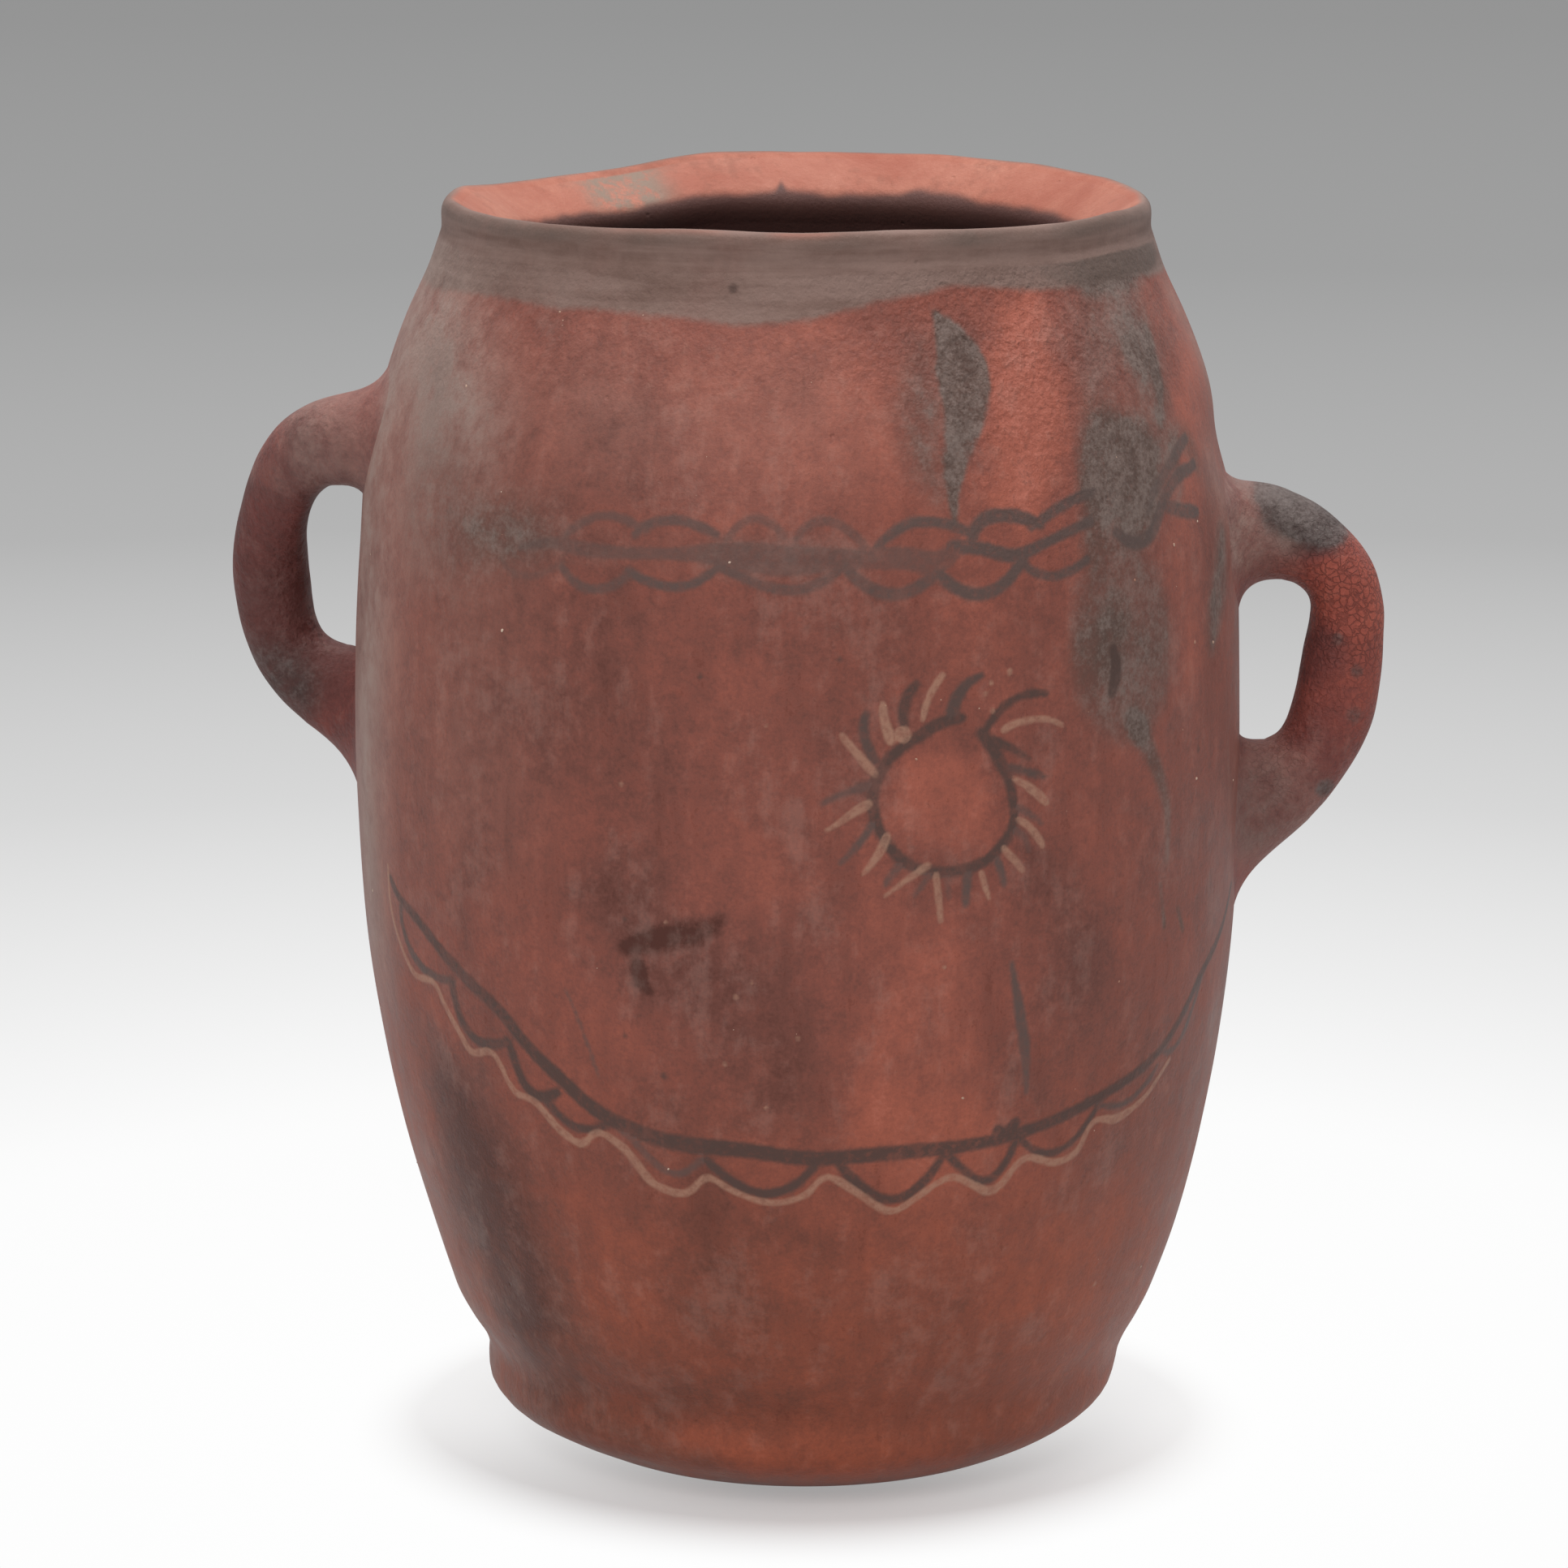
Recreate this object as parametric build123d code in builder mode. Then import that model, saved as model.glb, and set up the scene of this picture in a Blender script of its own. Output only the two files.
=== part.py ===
from build123d import *
from math import cos, exp, radians, sin
import os

# Coil-built clay jar with two loop handles. Millimetres, +Z up, +X towards the right handle.
# The base rests on Z = 0 and the jar's axis is the Z axis.

# Outer profile of the wall: each rise is measured from the station below it
contact_radius = 78.0
foot_inset = 3.5
foot_edge_rise = 28.0
waist_radius = 131.5
waist_rise = 7.0
lower_radius = 160.0
lower_rise = 82.0
belly_radius = 178.3
belly_rise = 185.0
shoulder_radius = 164.4
shoulder_rise = 135.0
neck_radius = 147.0
neck_rise = 45.0
collar_radius = 143.2
collar_rise = 19.0
waist_flare = 0.5
collar_lean = -0.05

# Wall thickness and the inside of the base
base_thickness = 14.0
floor_round = 18.0
waist_wall = 16.0
lower_wall = 13.0
belly_wall = 11.0
shoulder_wall = 12.0
neck_wall = 22.5

# Mouth: a bolster that bevels down from the lip to a rounded throat
bolster_depth = 27.2
throat_round = 5.0
throat_drop = 6.5
throat_under_angle = 50.0
bevel_angle = 14.0
bevel_length = 16.0

# Lip coil: an oval roll of clay laid on the collar, uneven in height
lip_half_width = 5.5
lip_half_height = 7.5
lip_overhang = 1.0
lip_seat_rise = 0.5
lip_saddle = 1.1
lip_tilt = 0.9
lip_dip = 3.5
lip_dip_azimuth = 130.0
lip_dip_spread = 27.0
lip_stations = 24

# Scarf joints between the clay courses, at heights measured from the profile stations
scarf_rise = 8.0
scarf_reach = 6.0
lower_joint_rise = 92.0
belly_joint_drop = 83.0
handle_joint_rise = 23.0
shoulder_joint_drop = 6.0
neck_joint_drop = 10.0

# Handles: a thick rolled coil, level at the top and slanting back to the wall below
handle_thickness = 29.5
handle_width = 34.0
handle_reach = 43.5
handle_lean = 2.0
handle_top_rise = 70.0
handle_knee_drop = 9.0
handle_root_drop = 57.0
handle_top_bend = 30.0
handle_knee_bend = 38.0
upper_root_growth = 5.0
lower_root_growth = 5.0
right_azimuth = 0.0
right_lift = -1.0
left_azimuth = 167.0
left_lift = 27.5

# Tenons of the handles, pressed through the wall
tenon_radius = 8.5
tenon_length = 52.0
tenon_slip = 0.3

# Collars of luting clay smeared around each handle root
skirt_depth = 9.0
skirt_spread = 17.0
skirt_fillet = 3.0
skirt_middle = 5.0
skirt_reach = 15.0
skirt_edge = 0.9

# Derived stations: the foot's edge follows the waist, set in by its own step
foot_radius = waist_radius - foot_inset
z_waist = foot_edge_rise + waist_rise
z_lower = z_waist + lower_rise
z_belly = z_lower + belly_rise
z_shoulder = z_belly + shoulder_rise
z_neck = z_shoulder + neck_rise
z_collar = z_neck + collar_rise
z_lip = z_collar + lip_seat_rise
lip_radius = collar_radius + lip_overhang - lip_half_width
throat_radius = collar_radius - bolster_depth
far_radius = belly_radius + 2 * handle_reach
collar_skirt = [
    (-skirt_depth, skirt_spread),
    (skirt_fillet, skirt_middle),
    (skirt_reach, skirt_edge),
]

outer_stations = [
    (waist_radius, z_waist),
    (lower_radius, z_lower),
    (belly_radius, z_belly),
    (shoulder_radius, z_shoulder),
    (neck_radius, z_neck),
    (collar_radius, z_collar),
]

os.makedirs("parts", exist_ok=True)


def smooth_line(stations, start, end):
    """Smooth line through stations, where each one leans only as its two neighbours ask."""
    points = [Vector(*station) for station in stations]
    chords = [after - before for before, after in zip(points, points[1:])]
    leans = [start]
    for below, above in zip(chords, chords[1:]):
        leans.append(below.normalized() * above.length + above.normalized() * below.length)
    return Spline(*points, tangents=[*leans, end])


def outer_line():
    """Outer wall from the waist to the top of the collar."""
    return smooth_line(outer_stations, (waist_flare, 1), (collar_lean, 1))


def foot_line():
    """Underside and rounded foot up to the waist; the round runs smoothly into the foot."""
    foot_slope = (waist_radius - foot_radius) / waist_rise
    foot_start = foot_radius - foot_edge_rise * foot_slope
    under = Line((0, 0), (contact_radius, 0))
    edge = Bezier(under @ 1, (foot_start, 0), (foot_radius, foot_edge_rise))
    Line(edge @ 1, (waist_radius, z_waist))


def outer_radius(height):
    """Radius of the outer wall at a height between the waist and the collar."""
    with BuildLine() as line:
        outer_line()
    wall = line.edges()[0]
    low, high = 0.0, 1.0
    while high - low > 1e-9:
        middle = (low + high) / 2
        if wall.position_at(middle).Y < height:
            low = middle
        else:
            high = middle
    return wall.position_at(low).X


def inner_line():
    """Bevel, rounded throat, inner wall and floor, from the collar down to the axis."""
    throat = (throat_radius + throat_round, z_collar - throat_drop)
    arc_start = 90 + bevel_angle
    arc_size = 90 + throat_under_angle - bevel_angle
    round_arc = CenterArc(throat, throat_round, arc_start, arc_size)
    bevel_top = (round_arc @ 0) + Vector(bevel_length, 0).rotate(Axis.Z, bevel_angle)
    Polyline((collar_radius, z_collar), (bevel_top.X, z_collar), bevel_top, round_arc @ 0)
    corner = (waist_radius - waist_wall, base_thickness + floor_round)
    inner_stations = [
        round_arc @ 1,
        (neck_radius - neck_wall, z_neck),
        (shoulder_radius - shoulder_wall, z_shoulder),
        (belly_radius - belly_wall, z_belly),
        (lower_radius - lower_wall, z_lower),
        corner,
    ]
    smooth_line(inner_stations, round_arc % 1, (-waist_flare, -1))
    floor_edge = corner[0] - waist_flare * floor_round
    Bezier(corner, (floor_edge, base_thickness), (floor_edge - floor_round, base_thickness))
    Polyline((floor_edge - floor_round, base_thickness), (0, base_thickness), (0, 0))


def joint_line(height):
    """Scarf joint across the wall, lower on the inside, level beyond the wall."""
    outside = outer_radius(height) + scarf_reach
    inside = outside - belly_wall - 2 * scarf_reach
    low = height - scarf_rise / 2
    high = height + scarf_rise / 2
    return [(0, low), (inside, low), (outside, high), (far_radius, high)]


def handle_plane(azimuth, lift):
    """Upright plane through the axis: local x runs outwards and local y runs up."""
    outwards = (cos(radians(azimuth)), sin(radians(azimuth)), 0)
    sideways = (sin(radians(azimuth)), -cos(radians(azimuth)), 0)
    return Plane(origin=(0, 0, z_belly + lift), x_dir=outwards, z_dir=sideways)


def handle_line():
    """Centre line of a handle, from inside the wall at the top to inside the wall below."""
    out = belly_radius + handle_reach
    root = belly_radius - belly_wall / 2
    start = (root - handle_thickness, handle_top_rise)
    top = (out, handle_top_rise)
    knee = (out - handle_lean, -handle_knee_drop)
    inwards = knee[0] - root
    downwards = handle_root_drop - handle_knee_drop
    overrun = 1 + handle_thickness / (inwards**2 + downwards**2) ** 0.5
    end = (knee[0] - inwards * overrun, knee[1] - downwards * overrun)
    return FilletPolyline(start, top, knee, end, radius=[handle_top_bend, handle_knee_bend])


def lip_height(azimuth):
    """Height of the lip coil's centre: a saddle, a tilt and one dip at the back left."""
    away = abs((azimuth - lip_dip_azimuth + 180) % 360 - 180) / lip_dip_spread
    rise = lip_tilt * sin(radians(azimuth)) - lip_saddle * cos(radians(2 * azimuth))
    return z_lip + rise - lip_dip * exp(-(away**4))


def export(part, label):
    """Name one piece and write its file."""
    part.label = label
    export_step(part, f"parts/{label}.step")


# Clay that the wall, the floor and the mouth take up, cut into courses below
with BuildSketch(Plane.XZ) as wall_section:
    with BuildLine():
        foot_line()
        outer_line()
        inner_line()
    make_face()

# Jar filled up to its collar, and the space inside it, used only to trim other pieces
with BuildPart() as jar_block:
    with BuildSketch(Plane.XZ):
        with BuildLine():
            foot_line()
            outer_line()
            Polyline((collar_radius, z_collar), (0, z_collar), (0, 0))
        make_face()
    revolve(axis=Axis.Z)

with BuildPart() as jar_space:
    add(jar_block.part)
    with BuildSketch(Plane.XZ):
        add(wall_section.sketch)
    revolve(axis=Axis.Z, mode=Mode.SUBTRACT)

# Lip coil, lofted in two halves through oval sections that rise and fall around the mouth
with BuildPart() as rim_coil:
    for half in range(2):
        for station in range(lip_stations // 2 + 1):
            azimuth = 180 * half + 360 * station / lip_stations
            outwards = Vector(1, 0, 0).rotate(Axis.Z, azimuth)
            onwards = Vector(0, 1, 0).rotate(Axis.Z, azimuth)
            centre = outwards * lip_radius + Vector(0, 0, lip_height(azimuth))
            with BuildSketch(Plane(origin=centre, x_dir=outwards, z_dir=onwards)):
                Ellipse(lip_half_width, lip_half_height)
        loft()
export(rim_coil.part, "rim_coil")


def add_tenons(radius, plane, mode):
    """Round pegs through the wall along both straight ends of a handle."""
    with BuildLine(plane) as line:
        handle_line()
    path = line.wire()
    for end, direction in ((0, path % 0), (1, (path % 1) * -1)):
        with BuildSketch(Plane(origin=path @ end, z_dir=direction)) as peg:
            Circle(radius)
        extrude(peg.sketch, amount=tenon_length, mode=mode)


handle_planes = {
    "right": handle_plane(right_azimuth, right_lift),
    "left": handle_plane(left_azimuth, left_lift),
}
joint_heights = {
    "base_pan": z_waist,
    "lower_wall": z_waist + lower_joint_rise,
    "belly_wall": z_belly - belly_joint_drop,
    "handle_wall": z_belly + handle_joint_rise,
    "upper_wall": z_shoulder - shoulder_joint_drop,
    "shoulder_wall": z_neck - neck_joint_drop,
}
joints = [[(0, -scarf_reach), (far_radius, -scarf_reach)]]
joints += [joint_line(height) for height in joint_heights.values()]
joints += [[(0, z_lip + lip_half_height), (far_radius, z_lip + lip_half_height)]]

# Courses of the wall from the base pan up to the collar under the lip
for course_label, low, high in zip([*joint_heights, "neck_collar"], joints, joints[1:]):
    with BuildPart() as course:
        with BuildSketch(Plane.XZ):
            add(wall_section.sketch)
            Polygon(*low, *reversed(high), align=None, mode=Mode.INTERSECT)
        revolve(axis=Axis.Z)
        for plane in handle_planes.values():
            add_tenons(tenon_radius + tenon_slip, plane, Mode.SUBTRACT)
        add(rim_coil.part, mode=Mode.SUBTRACT)
    export(course.part, course_label)

# Handles: an oval coil, thicker at its roots, seated on the wall with a tenon at each end
handle_coils = {}
for side, plane in handle_planes.items():
    with BuildPart() as coil:
        with BuildLine(plane) as line:
            handle_line()
        path = line.wire()
        for place, growth in ((0, upper_root_growth), (0.5, 0), (1, lower_root_growth)):
            across = (path % place).cross(plane.z_dir)
            with BuildSketch(Plane(origin=path @ place, x_dir=across, z_dir=path % place)):
                Ellipse((handle_thickness + growth) / 2, (handle_width + growth) / 2)
        sweep(path=path, multisection=True)
    handle_coils[side] = coil.part
    with BuildPart() as handle:
        add(coil.part)
        add(jar_block.part, mode=Mode.SUBTRACT)
        add_tenons(tenon_radius, plane, Mode.ADD)
        add(jar_space.part, mode=Mode.SUBTRACT)
    export(handle.part, f"{side}_handle")

# Collars of luting clay: a concave skirt from the wall out onto the handle at each root
for side, plane in handle_planes.items():
    with BuildLine(Plane.XY) as line:
        path = handle_line()
    for root, end, growth in (("upper", 0, upper_root_growth), ("lower", 1, lower_root_growth)):
        slope = (path % end).Y / (path % end).X
        stretch = (1 + slope**2) ** 0.5
        wall = outer_radius(plane.origin.Z + (path @ end).Y)
        with BuildPart() as collar:
            for reach, spread in collar_skirt:
                rise = (path @ end).Y + slope * (wall + reach - (path @ end).X)
                centre = plane.from_local_coords((wall + reach, rise, 0))
                with BuildSketch(Plane(origin=centre, x_dir=(0, 0, 1), z_dir=plane.x_dir)):
                    tall = (handle_thickness + growth) / 2 * stretch
                    Ellipse(tall + spread, (handle_width + growth) / 2 + spread)
            loft()
            add(handle_coils[side], mode=Mode.SUBTRACT)
            add(jar_block.part, mode=Mode.SUBTRACT)
        export(collar.part, f"{side}_{root}_root_collar")
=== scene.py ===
"""Painted clay olla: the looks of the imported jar, built in the shared frame."""

import logging
import math
from dataclasses import dataclass, field
from enum import Enum
from functools import partial, reduce

import bpy
import numpy as np
from bpy.types import Material, Mesh, Node, NodeOutputs, NodeSocket, NodeTree, Object, Scene
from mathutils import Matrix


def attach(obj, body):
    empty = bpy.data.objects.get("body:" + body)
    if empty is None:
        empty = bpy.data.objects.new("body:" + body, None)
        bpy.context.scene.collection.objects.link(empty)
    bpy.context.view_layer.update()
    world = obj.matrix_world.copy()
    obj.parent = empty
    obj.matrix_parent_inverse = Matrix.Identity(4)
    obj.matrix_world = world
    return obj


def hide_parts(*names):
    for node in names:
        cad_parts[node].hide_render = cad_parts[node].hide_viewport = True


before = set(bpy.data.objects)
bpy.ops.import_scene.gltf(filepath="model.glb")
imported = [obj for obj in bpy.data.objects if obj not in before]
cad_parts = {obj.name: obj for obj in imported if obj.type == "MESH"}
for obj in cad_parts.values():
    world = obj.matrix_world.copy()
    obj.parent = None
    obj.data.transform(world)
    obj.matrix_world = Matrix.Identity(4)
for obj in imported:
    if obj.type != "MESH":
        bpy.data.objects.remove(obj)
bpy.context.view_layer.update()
MM = 0.001
DEGREE_MM = 3.107  # millimetres of wall to a degree of turn at the belly
CLEAR = 9.0  # distance in millimetres that stands for no paint near

log = logging.getLogger("olla")


def linear(red: float, green: float, blue: float) -> tuple[float, float, float, float]:
    """Turns a colour of 0 to 255 as seen on screen into a linear one.

    Args:
        red: Red as seen.
        green: Green as seen.
        blue: Blue as seen.

    Returns:
        The linear colour with full alpha.
    """
    seen = [c / 255 for c in (red, green, blue)]
    flat = [c / 12.92 if c <= 0.04045 else ((c + 0.055) / 1.055) ** 2.4 for c in seen]
    return (flat[0], flat[1], flat[2], 1.0)


def smooth_through(at: np.ndarray, xs: np.ndarray, ys: np.ndarray) -> np.ndarray:
    """Reads a smooth curve through stations, each leaning as its two neighbours ask.

    Args:
        at: Places to read.
        xs: Rising places of the stations.
        ys: Values of the stations.

    Returns:
        The curve's values at those places.
    """
    xs, ys = np.asarray(xs, float), np.asarray(ys, float)
    gap = np.diff(xs)
    rise = np.diff(ys) / gap
    shared = (rise[:-1] * gap[1:] + rise[1:] * gap[:-1]) / (gap[1:] + gap[:-1])
    lean = np.concatenate([rise[:1], shared, rise[-1:]])
    at = np.clip(np.asarray(at, float), xs[0], xs[-1])
    k = np.clip(np.searchsorted(xs, at) - 1, 0, len(gap) - 1)
    t = (at - xs[k]) / gap[k]
    h, u = gap[k], 1 - t
    return (ys[k] * (1 + 2 * t) * u * u + h * lean[k] * t * u * u
            + ys[k + 1] * t * t * (3 - 2 * t) - h * lean[k + 1] * t * t * u)


def flow(points: list | np.ndarray, step: float) -> np.ndarray:
    """Draws a smooth line through points.

    Args:
        points: Points of any width, one to a row.
        step: Distance between the drawn points, along the first two columns.

    Returns:
        The drawn points.
    """
    points = np.asarray(points, float)
    steps = np.linalg.norm(np.diff(points[:, :2], axis=0), axis=1)
    way = np.concatenate([[0], np.cumsum(np.maximum(steps, 1e-6))])
    at = np.linspace(0, way[-1], max(2, round(way[-1] / step) + 1))
    return np.stack([smooth_through(at, way, column) for column in points.T], 1)


def ease(low: float, high: float, value: np.ndarray) -> np.ndarray:
    """Rises smoothly from 0 at low to 1 at high."""
    t = np.clip((value - low) / (high - low), 0, 1)
    return t * t * (3 - 2 * t)


def wrapped(turn: np.ndarray) -> np.ndarray:
    """Brings degrees into the span from -180 to 180."""
    return (turn + 180) % 360 - 180


def ring_points(turn: np.ndarray, radius: float) -> np.ndarray:
    """Places round the axis at a radius, to read noise along a ring."""
    angle = np.radians(turn)
    return np.stack([np.sin(angle) * radius, -np.cos(angle) * radius, 0 * turn], -1)


def tinted(colour: tuple, lift: float = 0.0) -> tuple[float, float, float, float]:
    """Linear form of a seen colour, lifted or lowered in all its parts."""
    return linear(*(part + lift for part in colour))


class ClayNoise:
    """Soft lattice noise with a fixed seed, for the unevenness of hand-built clay."""

    CELLS = 32

    def __init__(self, seed: int) -> None:
        """Fills the lattice from the seed."""
        self.lattice = np.random.default_rng(seed).uniform(-1, 1, (self.CELLS,) * 3)

    def at(self, points: np.ndarray, size: float) -> np.ndarray:
        """Reads the noise.

        Args:
            points: Places in millimetres, three columns.
            size: Width of one lump in millimetres.

        Returns:
            Values from -1 to 1.
        """
        q = np.asarray(points, float) / size
        i = np.floor(q).astype(int)
        f = q - i
        f = f * f * (3 - 2 * f)
        total = np.zeros(q.shape[:-1])
        for corner in np.ndindex(2, 2, 2):
            share = np.ones_like(total)
            for axis, bit in enumerate(corner):
                share = share * (f[..., axis] if bit else 1 - f[..., axis])
            cell = tuple((i[..., axis] + bit) % self.CELLS for axis, bit in enumerate(corner))
            total += share * self.lattice[cell]
        return total


class Zone(Enum):
    """Stretches of the jar's profile, in the order the profile runs."""

    UNDERSIDE = 0
    OUTSIDE = 1
    LIP = 2
    BEVEL = 3
    INSIDE = 4


class Course(Enum):
    """Clay courses of the wall with the height in millimetres of the joint on top of each."""

    BASE_PAN = ("base_pan", 35.0)
    LOWER_WALL = ("lower_wall", 127.0)
    BELLY_WALL = ("belly_wall", 219.0)
    HANDLE_WALL = ("handle_wall", 325.0)
    UPPER_WALL = ("upper_wall", 431.0)
    SHOULDER_WALL = ("shoulder_wall", 472.0)

    @property
    def node(self) -> str:
        """Name of the course's node in the frame."""
        return self.value[0]

    @property
    def joint(self) -> float:
        """Height of the joint on top of the course."""
        return self.value[1]


class Tint(Enum):
    """Fields that a smudge can change on the clay: marks of the firing or of wear, and painted sheen and
    highlights.
    """

    SMOKE = "smoke"
    # painted sheen and highlights, with some grey patches of the clay
    HAZE = "haze"
    WARMTH = "warmth"
    GRIT = "grit"


FIELDS = (
    "dark_slip", "dark_tone", "cream_slip", "smoke", "haze", "warmth",
    "grit", "grey", "band", "bare", "inside", "handle",
)
BELOW_BAND = -40.0  # height in millimetres that stands for far below the rim's band
EMPTY = {"dark_slip": CLEAR, "cream_slip": CLEAR, "band": BELOW_BAND}


def empty_rows() -> dict[str, list]:
    """An empty list for every field."""
    return {name: [] for name in FIELDS}


@dataclass
class MeshMaker:
    """Collects rows of points and turns them into one closed mesh with its own normals and fields."""

    points: list = field(default_factory=list)
    normals: list = field(default_factory=list)
    fields: dict = field(default_factory=empty_rows)
    faces: list = field(default_factory=list)
    count: int = 0

    def row(self, points: np.ndarray, normals: np.ndarray, fields: dict) -> tuple[int, int]:
        """Adds a ring of points, or one pole point.

        Args:
            points: Points in millimetres.
            normals: Their normals.
            fields: Values for the fields that the ring has.

        Returns:
            The first index and the number of points.
        """
        start, size = self.count, len(points)
        self.points.append(points)
        self.normals.append(normals)
        for name in FIELDS:
            value = fields.get(name, EMPTY.get(name, 0.0))
            self.fields[name].append(np.broadcast_to(np.asarray(value, float), (size,)))
        self.count += size
        return start, size

    def strip(self, low: tuple[int, int], high: tuple[int, int]) -> None:
        """Closes the space between two rings, or between a ring and a pole.

        Args:
            low: First index and size of the ring that comes first.
            high: First index and size of the next ring.
        """
        size = max(low[1], high[1])
        here = np.arange(size)
        onward = (here + 1) % size
        a, b = low[0] + here * (low[1] > 1), low[0] + onward * (low[1] > 1)
        d, c = high[0] + here * (high[1] > 1), high[0] + onward * (high[1] > 1)
        if low[1] == 1:
            self.faces.append(np.stack([a, c, d], 1))
        elif high[1] == 1:
            self.faces.append(np.stack([a, b, c], 1))
        else:
            self.faces.append(np.stack([a, b, c, d], 1))

    def strips(self, rings: list[tuple[int, int]]) -> None:
        """Closes the spaces along a run of rings."""
        for low, high in zip(rings, rings[1:]):
            self.strip(low, high)

    def object(self, name: str, material: Material) -> Object:
        """Makes the mesh object.

        Args:
            name: Name of the piece.
            material: Its finish.

        Returns:
            The object, in metres, at the origin.
        """
        mesh = bpy.data.meshes.new(name)
        points = np.concatenate(self.points) * MM
        loops = np.concatenate([f.ravel() for f in self.faces])
        sizes = np.concatenate([np.full(len(f), f.shape[1]) for f in self.faces])
        mesh.vertices.add(len(points))
        mesh.vertices.foreach_set("co", points.astype(np.float32).ravel())
        mesh.loops.add(len(loops))
        mesh.loops.foreach_set("vertex_index", loops.astype(np.int32))
        mesh.polygons.add(len(sizes))
        starts = np.concatenate([[0], np.cumsum(sizes)[:-1]])
        mesh.polygons.foreach_set("loop_start", starts.astype(np.int32))
        mesh.update(calc_edges=True)
        mesh.shade_smooth()
        for key in FIELDS:
            slot = mesh.attributes.new(key, "FLOAT", "POINT")
            slot.data.foreach_set("value", np.concatenate(self.fields[key]).astype(np.float32))
        mesh.normals_split_custom_set_from_vertices(np.concatenate(self.normals).tolist())
        mesh.materials.append(material)
        piece = bpy.data.objects.new(name, mesh)
        bpy.context.scene.collection.objects.link(piece)
        return piece


def grid_normals(points: np.ndarray) -> np.ndarray:
    """Finds the outward normals of a grid of rings.

    Args:
        points: Rings by columns by three.

    Returns:
        Unit normals of the same form.
    """
    around = np.roll(points, -1, 1) - np.roll(points, 1, 1)
    along = np.gradient(points, axis=0)
    normal = np.cross(around, along)
    return normal / np.maximum(np.linalg.norm(normal, axis=2, keepdims=True), 1e-9)


@dataclass
class JarShape:
    """Form of the jar: its profile, its lean, its uneven lip and its hand-made surface.

    The foot, lip, bevel and inside are (radius, height) in millimetres, the lip and bevel from the crest. The
    outside, shift and kink are (height, value). A dent is its turn, height, half widths and depth.
    """

    seed: int = 11
    columns: int = 1080
    outer_step: float = 1.5
    lip_step: float = 1.3
    inner_step: float = 10.0
    under_rings: tuple = (0, 20, 40, 60, 72)
    foot_rows: int = 16
    foot: tuple = ((78.0, 0.0), (114.0, 0.0), (127.3, 28.0))
    outside: tuple = (
        (28, 127.3), (35, 130.6), (47, 136.1), (77, 147.7), (117, 159.1), (167, 169.7), (217, 176.3),
        (267, 178.1), (317, 177.9), (367, 176.1), (407, 172.0), (437, 164.1), (462, 155.0), (482, 146.2),
        (494, 142.2),
    )
    shift: tuple = (
        (0, -0.2), (20, 0.0), (39, -0.3), (89, 0.4), (139, -0.6), (206, -1.4), (300, -2.6), (407, -2.7),
        (490, -3.1), (511, -3.1),
    )
    kink: tuple = (
        (0, 0.0), (5, -3.0), (10, -1.0), (17, 3.2), (24, 3.5), (31, 0.8), (38, -2.7), (45, -3.6),
        (54, -1.6), (64, 0.0), (70, 0.0), (76, 0.0), (600, 0.0),
    )
    kink_turn: float = -90.0
    kink_least: float = 0.5
    dents: tuple = ((85.0, 409.0, 12.0, 17.0, 4.2),)
    crest: float = 509.0
    lip: tuple = (
        (141.9, -14.0), (141.3, -12.2), (141.1, -10.0), (141.2, -7.6), (141.2, -5.0), (140.7, -2.6),
        (139.4, -0.8), (137.5, 0.0), (135.3, -0.7), (133.0, -2.1),
    )
    bevel: tuple = (
        (133.0, -2.1), (129.8, -4.1), (126.2, -6.5), (122.6, -9.0), (119.5, -11.4), (117.0, -13.6),
        (115.4, -16.0), (114.9, -18.4), (115.5, -21.0), (117.4, -24.0), (121.0, -28.0),
    )
    inside: tuple = (
        (121.0, 481.0), (125.5, 475.0), (138.0, 457.0), (152.4, 433.0), (163.5, 390.0), (167.3, 302.0),
        (163.5, 217.0), (147.0, 117.0), (131.0, 65.0), (115.5, 32.0), (107.0, 18.5), (88.5, 14.0),
        (60.0, 14.0), (30.0, 14.0), (0.0, 14.0),
    )
    lip_tilt: float = 2.7
    lip_saddle: float = 1.1
    lip_dip: float = 4.2
    lip_dip_turn: float = 228.0
    lip_dip_spread: float = 24.0
    lip_wave: float = 0.55
    lip_wave_sizes: tuple = (34, 15)
    lip_radius: float = 140.0
    outside_sway: tuple = (440, 500)
    inside_sway: tuple = (425, 478)
    bevel_sway: tuple = (490, 507)
    lump: float = 0.55
    lump_sizes: tuple = (75, 31)
    facet: float = 0.2
    facet_size: float = 14.0

    def __post_init__(self) -> None:
        """Builds the grid of points that all courses are cut from."""
        self.noise = ClayNoise(self.seed)
        self.turn = np.arange(self.columns) * 360 / self.columns - 180
        self._profile()
        self._surface()

    def radius(self, height: np.ndarray) -> np.ndarray:
        """Radius of the outer wall at a height."""
        return smooth_through(height, *np.array(self.outside).T)

    def lean(self, height: np.ndarray) -> np.ndarray:
        """Sideways lean of the wall at a height."""
        return smooth_through(height, *np.array(self.shift).T)

    def lip_rise(self, turn: np.ndarray) -> np.ndarray:
        """Height of the lip above its mean level.

        Args:
            turn: Degrees from the front, rising to the right.

        Returns:
            Rise in millimetres.
        """
        right = np.radians(turn - 90)
        away = np.abs(wrapped(turn - self.lip_dip_turn)) / self.lip_dip_spread
        dip = self.lip_dip * np.exp(-(away**4))
        ring = ring_points(turn, self.lip_radius)
        broad, fine = self.lip_wave_sizes
        wave = self.noise.at(ring, broad) * self.lip_wave
        wave = wave + self.noise.at(ring + 70, fine) * self.lip_wave * 0.4
        return self.lip_tilt * np.sin(right) - self.lip_saddle * np.cos(2 * right) - dip + wave

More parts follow.
